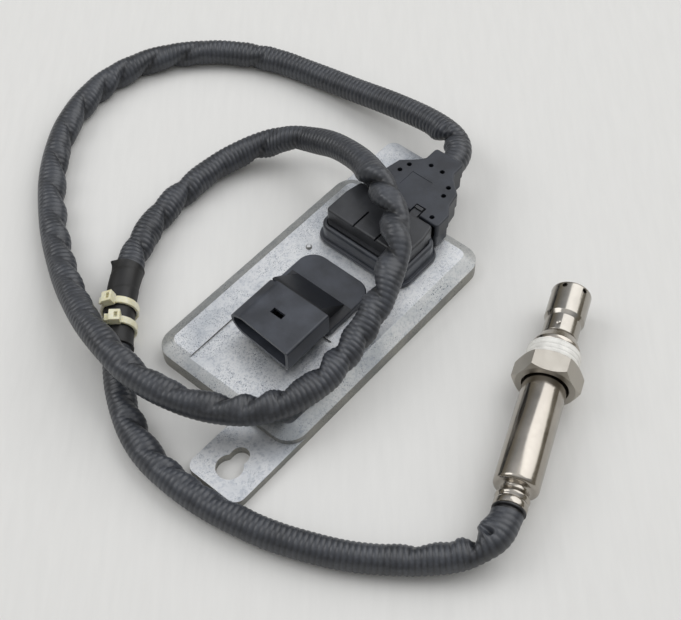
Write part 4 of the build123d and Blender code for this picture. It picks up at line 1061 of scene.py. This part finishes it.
def coating_rings():
    """Rings over a thread that is filled with paste, round the nut's shank."""
    start, end, pitch, step = 59.0, 65.4, 1.9, 0.14
    bore, root, tooth_rise, tooth_steepness = 9.62, 9.71, 0.27, 1.9
    broad_lump, fine_lump = 0.05, 0.04
    end_drop, end_reach = 0.3, 0.25
    count = round((end - start) / step)
    angles = [2 * pi * i / ROUND_SIDES for i in range(ROUND_SIDES)]
    phase = random.Random(5).uniform(0, 2 * pi)
    rings = []
    for k in range(count + 1):
        station = start + (end - start) * k / count
        edge = min(station - start, end - station)
        ring = []
        for angle in angles:
            share = (station / pitch - angle / (2 * pi)) % 1.0
            tooth = min(1.0, tooth_steepness * (1 - abs(2 * share - 1)))
            lump = broad_lump * sin(5 * angle + phase) + fine_lump * sin(13 * angle + 2 * station)
            radius = root + tooth_rise * tooth + lump - end_drop * exp(-edge / end_reach)
            ring.append(Vector((radius * cos(angle), radius * sin(angle), station)) * MM)
        rings.append(ring)
    for station in (end, start):
        rings.append([Vector((bore * cos(angle), bore * sin(angle), station)) * MM for angle in angles])
    return rings


class SENSOR_OT_nut(bpy.types.Operator):
    """Model the union nut and its coated thread."""

    bl_idname = "sensor.union_nut"
    bl_label = "Union nut"

    def execute(self, context):
        nut = copied("union_nut", "hexagon_nut")
        rounded(nut, settings("sensor_edges").turned, 3, 25.0)
        hand_over(nut, "nut", "union_nut")
        coat = grid_piece("coated_thread", coating_rings(), close_ends=False, loop=True)
        coat.data.transform(probe_matrix())
        smoothed(coat, 50)
        hand_over(coat, "nut", "thread_coating")
        return {"FINISHED"}


class SENSOR_OT_inner_pieces(bpy.types.Operator):
    """Give each CAD piece that stays in view or inside its own finish."""

    bl_idname = "sensor.inner_pieces"
    bl_label = "Other pieces"

    def execute(self, context):
        for node, piece in frame["nodes"].items():
            material = finish(SLOT_OF[node])
            if not piece.material_slots:
                piece.data.materials.append(material)
            for place in piece.material_slots:
                place.material = material
        return {"FINISHED"}


# Stage

FLOOR_SIZE = 24.0

# Lamps, in metres: name, place and size, and share of the main lamp's power
LAMPS = [
    ("main_lamp", (1.9, -0.5, 2.1), (3.0, 2.6), 1.0),
    ("side_lamp", (-0.7, 1.3, 1.5), (1.2, 1.2), 0.25),
]

# Colours of the room from the horizon up
ROOM = [
    (0.0, (0.2, 0.18, 0.14)), (0.35, (0.25, 0.235, 0.2)), (0.65, (0.4, 0.41, 0.43)),
    (0.9, (0.72, 0.73, 0.75)), (1.0, (0.9, 0.9, 0.9)),
]


def make_floor(colour):
    """Pale, faintly streaked surface under the sensor."""
    start_fresh()
    bpy.ops.mesh.primitive_plane_add(size=FLOOR_SIZE, location=(0, 0, 0))
    floor = bpy.context.object
    floor.name = "pale_floor"
    material, tree, shader, place = new_finish("floor_paper", colour, 0.0, 0.75)
    turned = mapped(tree, place, Rotation=(0, 0, radians(-41)))
    streaks = noise_field(tree, mapped(tree, turned, Scale=(1.0, 7.0, 1.0)), 45.0, 5.0, 0.6)
    base = ramp(tree, streaks, [(0.25, shade(colour, 0.975)), (0.7, shade(colour, 1.015))])
    tree.links.new(base, shader.inputs["Base Color"])
    shader.inputs["Specular IOR Level"].default_value = 0.2
    floor.data.materials.append(material)


def make_surroundings(strength):
    """Soft room: bright above, dimmer towards the horizon."""
    world = bpy.data.worlds.new("soft_room")
    world.use_nodes = True
    tree = world.node_tree
    background = tree.nodes["Background"]
    place = tree.nodes.new("ShaderNodeTexCoord").outputs["Generated"]
    height = link_nodes(tree, "ShaderNodeSeparateXYZ", {"Vector": place}).outputs["Z"]
    tree.links.new(ramp(tree, height, ROOM), background.inputs["Color"])
    background.inputs["Strength"].default_value = strength
    bpy.context.scene.world = world


def add_lamp(name, place, size, power):
    """Soft lamp that points at the sensor."""
    data = bpy.data.lights.new(name, "AREA")
    data.shape = "RECTANGLE"
    data.size, data.size_y = size
    data.energy = power
    lamp = bpy.data.objects.new(name, data)
    lamp.location = place
    lamp.rotation_euler = (-Vector(place)).to_track_quat("-Z", "Y").to_euler()
    bpy.context.scene.collection.objects.link(lamp)


def place_camera(stage):
    """Camera at the photograph's angle."""
    data = bpy.data.cameras.new("camera")
    data.lens = stage.lens
    data.sensor_width = 36.0
    data.clip_start = 0.01
    camera = bpy.data.objects.new("camera", data)
    forward = (Vector(stage.aim) - Vector(stage.eye)).normalized()
    level = forward.cross(Vector((0, 0, 1))).normalized()
    right = level * cos(stage.roll) + level.cross(forward) * sin(stage.roll)
    turn = Matrix((right, right.cross(forward), -forward)).transposed().to_4x4()
    camera.matrix_world = Matrix.Translation(Vector(stage.eye)) @ turn
    bpy.context.scene.collection.objects.link(camera)
    bpy.context.scene.camera = camera


class SENSOR_OT_stage(bpy.types.Operator):
    """Lay the floor, set the lamps and place the camera."""

    bl_idname = "sensor.stage"
    bl_label = "Stage"

    def execute(self, context):
        stage = settings("sensor_stage")
        place_camera(stage)
        make_floor(settings("sensor_finish").floor)
        make_surroundings(stage.sky)
        for name, place, size, share in LAMPS:
            add_lamp(name, place, size, stage.lamp * share)
        context.scene.view_settings.view_transform = "Standard"
        return {"FINISHED"}


class SENSOR_PT_panel(bpy.types.Panel):
    """Steps that dress the sensor, in their order."""

    bl_idname = "SENSOR_PT_panel"
    bl_label = "Nitrogen oxide sensor"
    bl_space_type = "VIEW_3D"
    bl_region_type = "UI"
    bl_category = "Sensor"

    def draw(self, context):
        for operator in OPERATORS:
            self.layout.operator(operator.bl_idname)
        for name, group in GROUPS.items():
            box = self.layout.box()
            for key in group.__annotations__:
                box.prop(getattr(context.scene, name), key)


GROUPS = {
    "sensor_cable": CableSettings,
    "sensor_edges": EdgeSettings,
    "sensor_finish": FinishSettings,
    "sensor_stage": StageSettings,
}
OPERATORS = [
    SENSOR_OT_stage, SENSOR_OT_cable, SENSOR_OT_casting, SENSOR_OT_vehicle_connector, SENSOR_OT_mouldings,
    SENSOR_OT_probe, SENSOR_OT_nut, SENSOR_OT_inner_pieces,
]


def register():
    """Register the settings, the steps and the panel."""
    for name, group in GROUPS.items():
        bpy.utils.register_class(group)
        setattr(bpy.types.Scene, name, bpy.props.PointerProperty(type=group))
    for item in OPERATORS + [SENSOR_PT_panel]:
        bpy.utils.register_class(item)


def unregister():
    """Take back what register added."""
    for item in reversed(OPERATORS + [SENSOR_PT_panel]):
        bpy.utils.unregister_class(item)
    for name, group in GROUPS.items():
        delattr(bpy.types.Scene, name)
        bpy.utils.unregister_class(group)


def main():
    """Dress the sensor step by step."""
    register()
    bpy.ops.sensor.stage()
    bpy.ops.sensor.cable()
    bpy.ops.sensor.casting()
    bpy.ops.sensor.vehicle_connector()
    bpy.ops.sensor.mouldings()
    bpy.ops.sensor.probe()
    bpy.ops.sensor.union_nut()
    bpy.ops.sensor.inner_pieces()


if __name__ == "__main__":
    main()
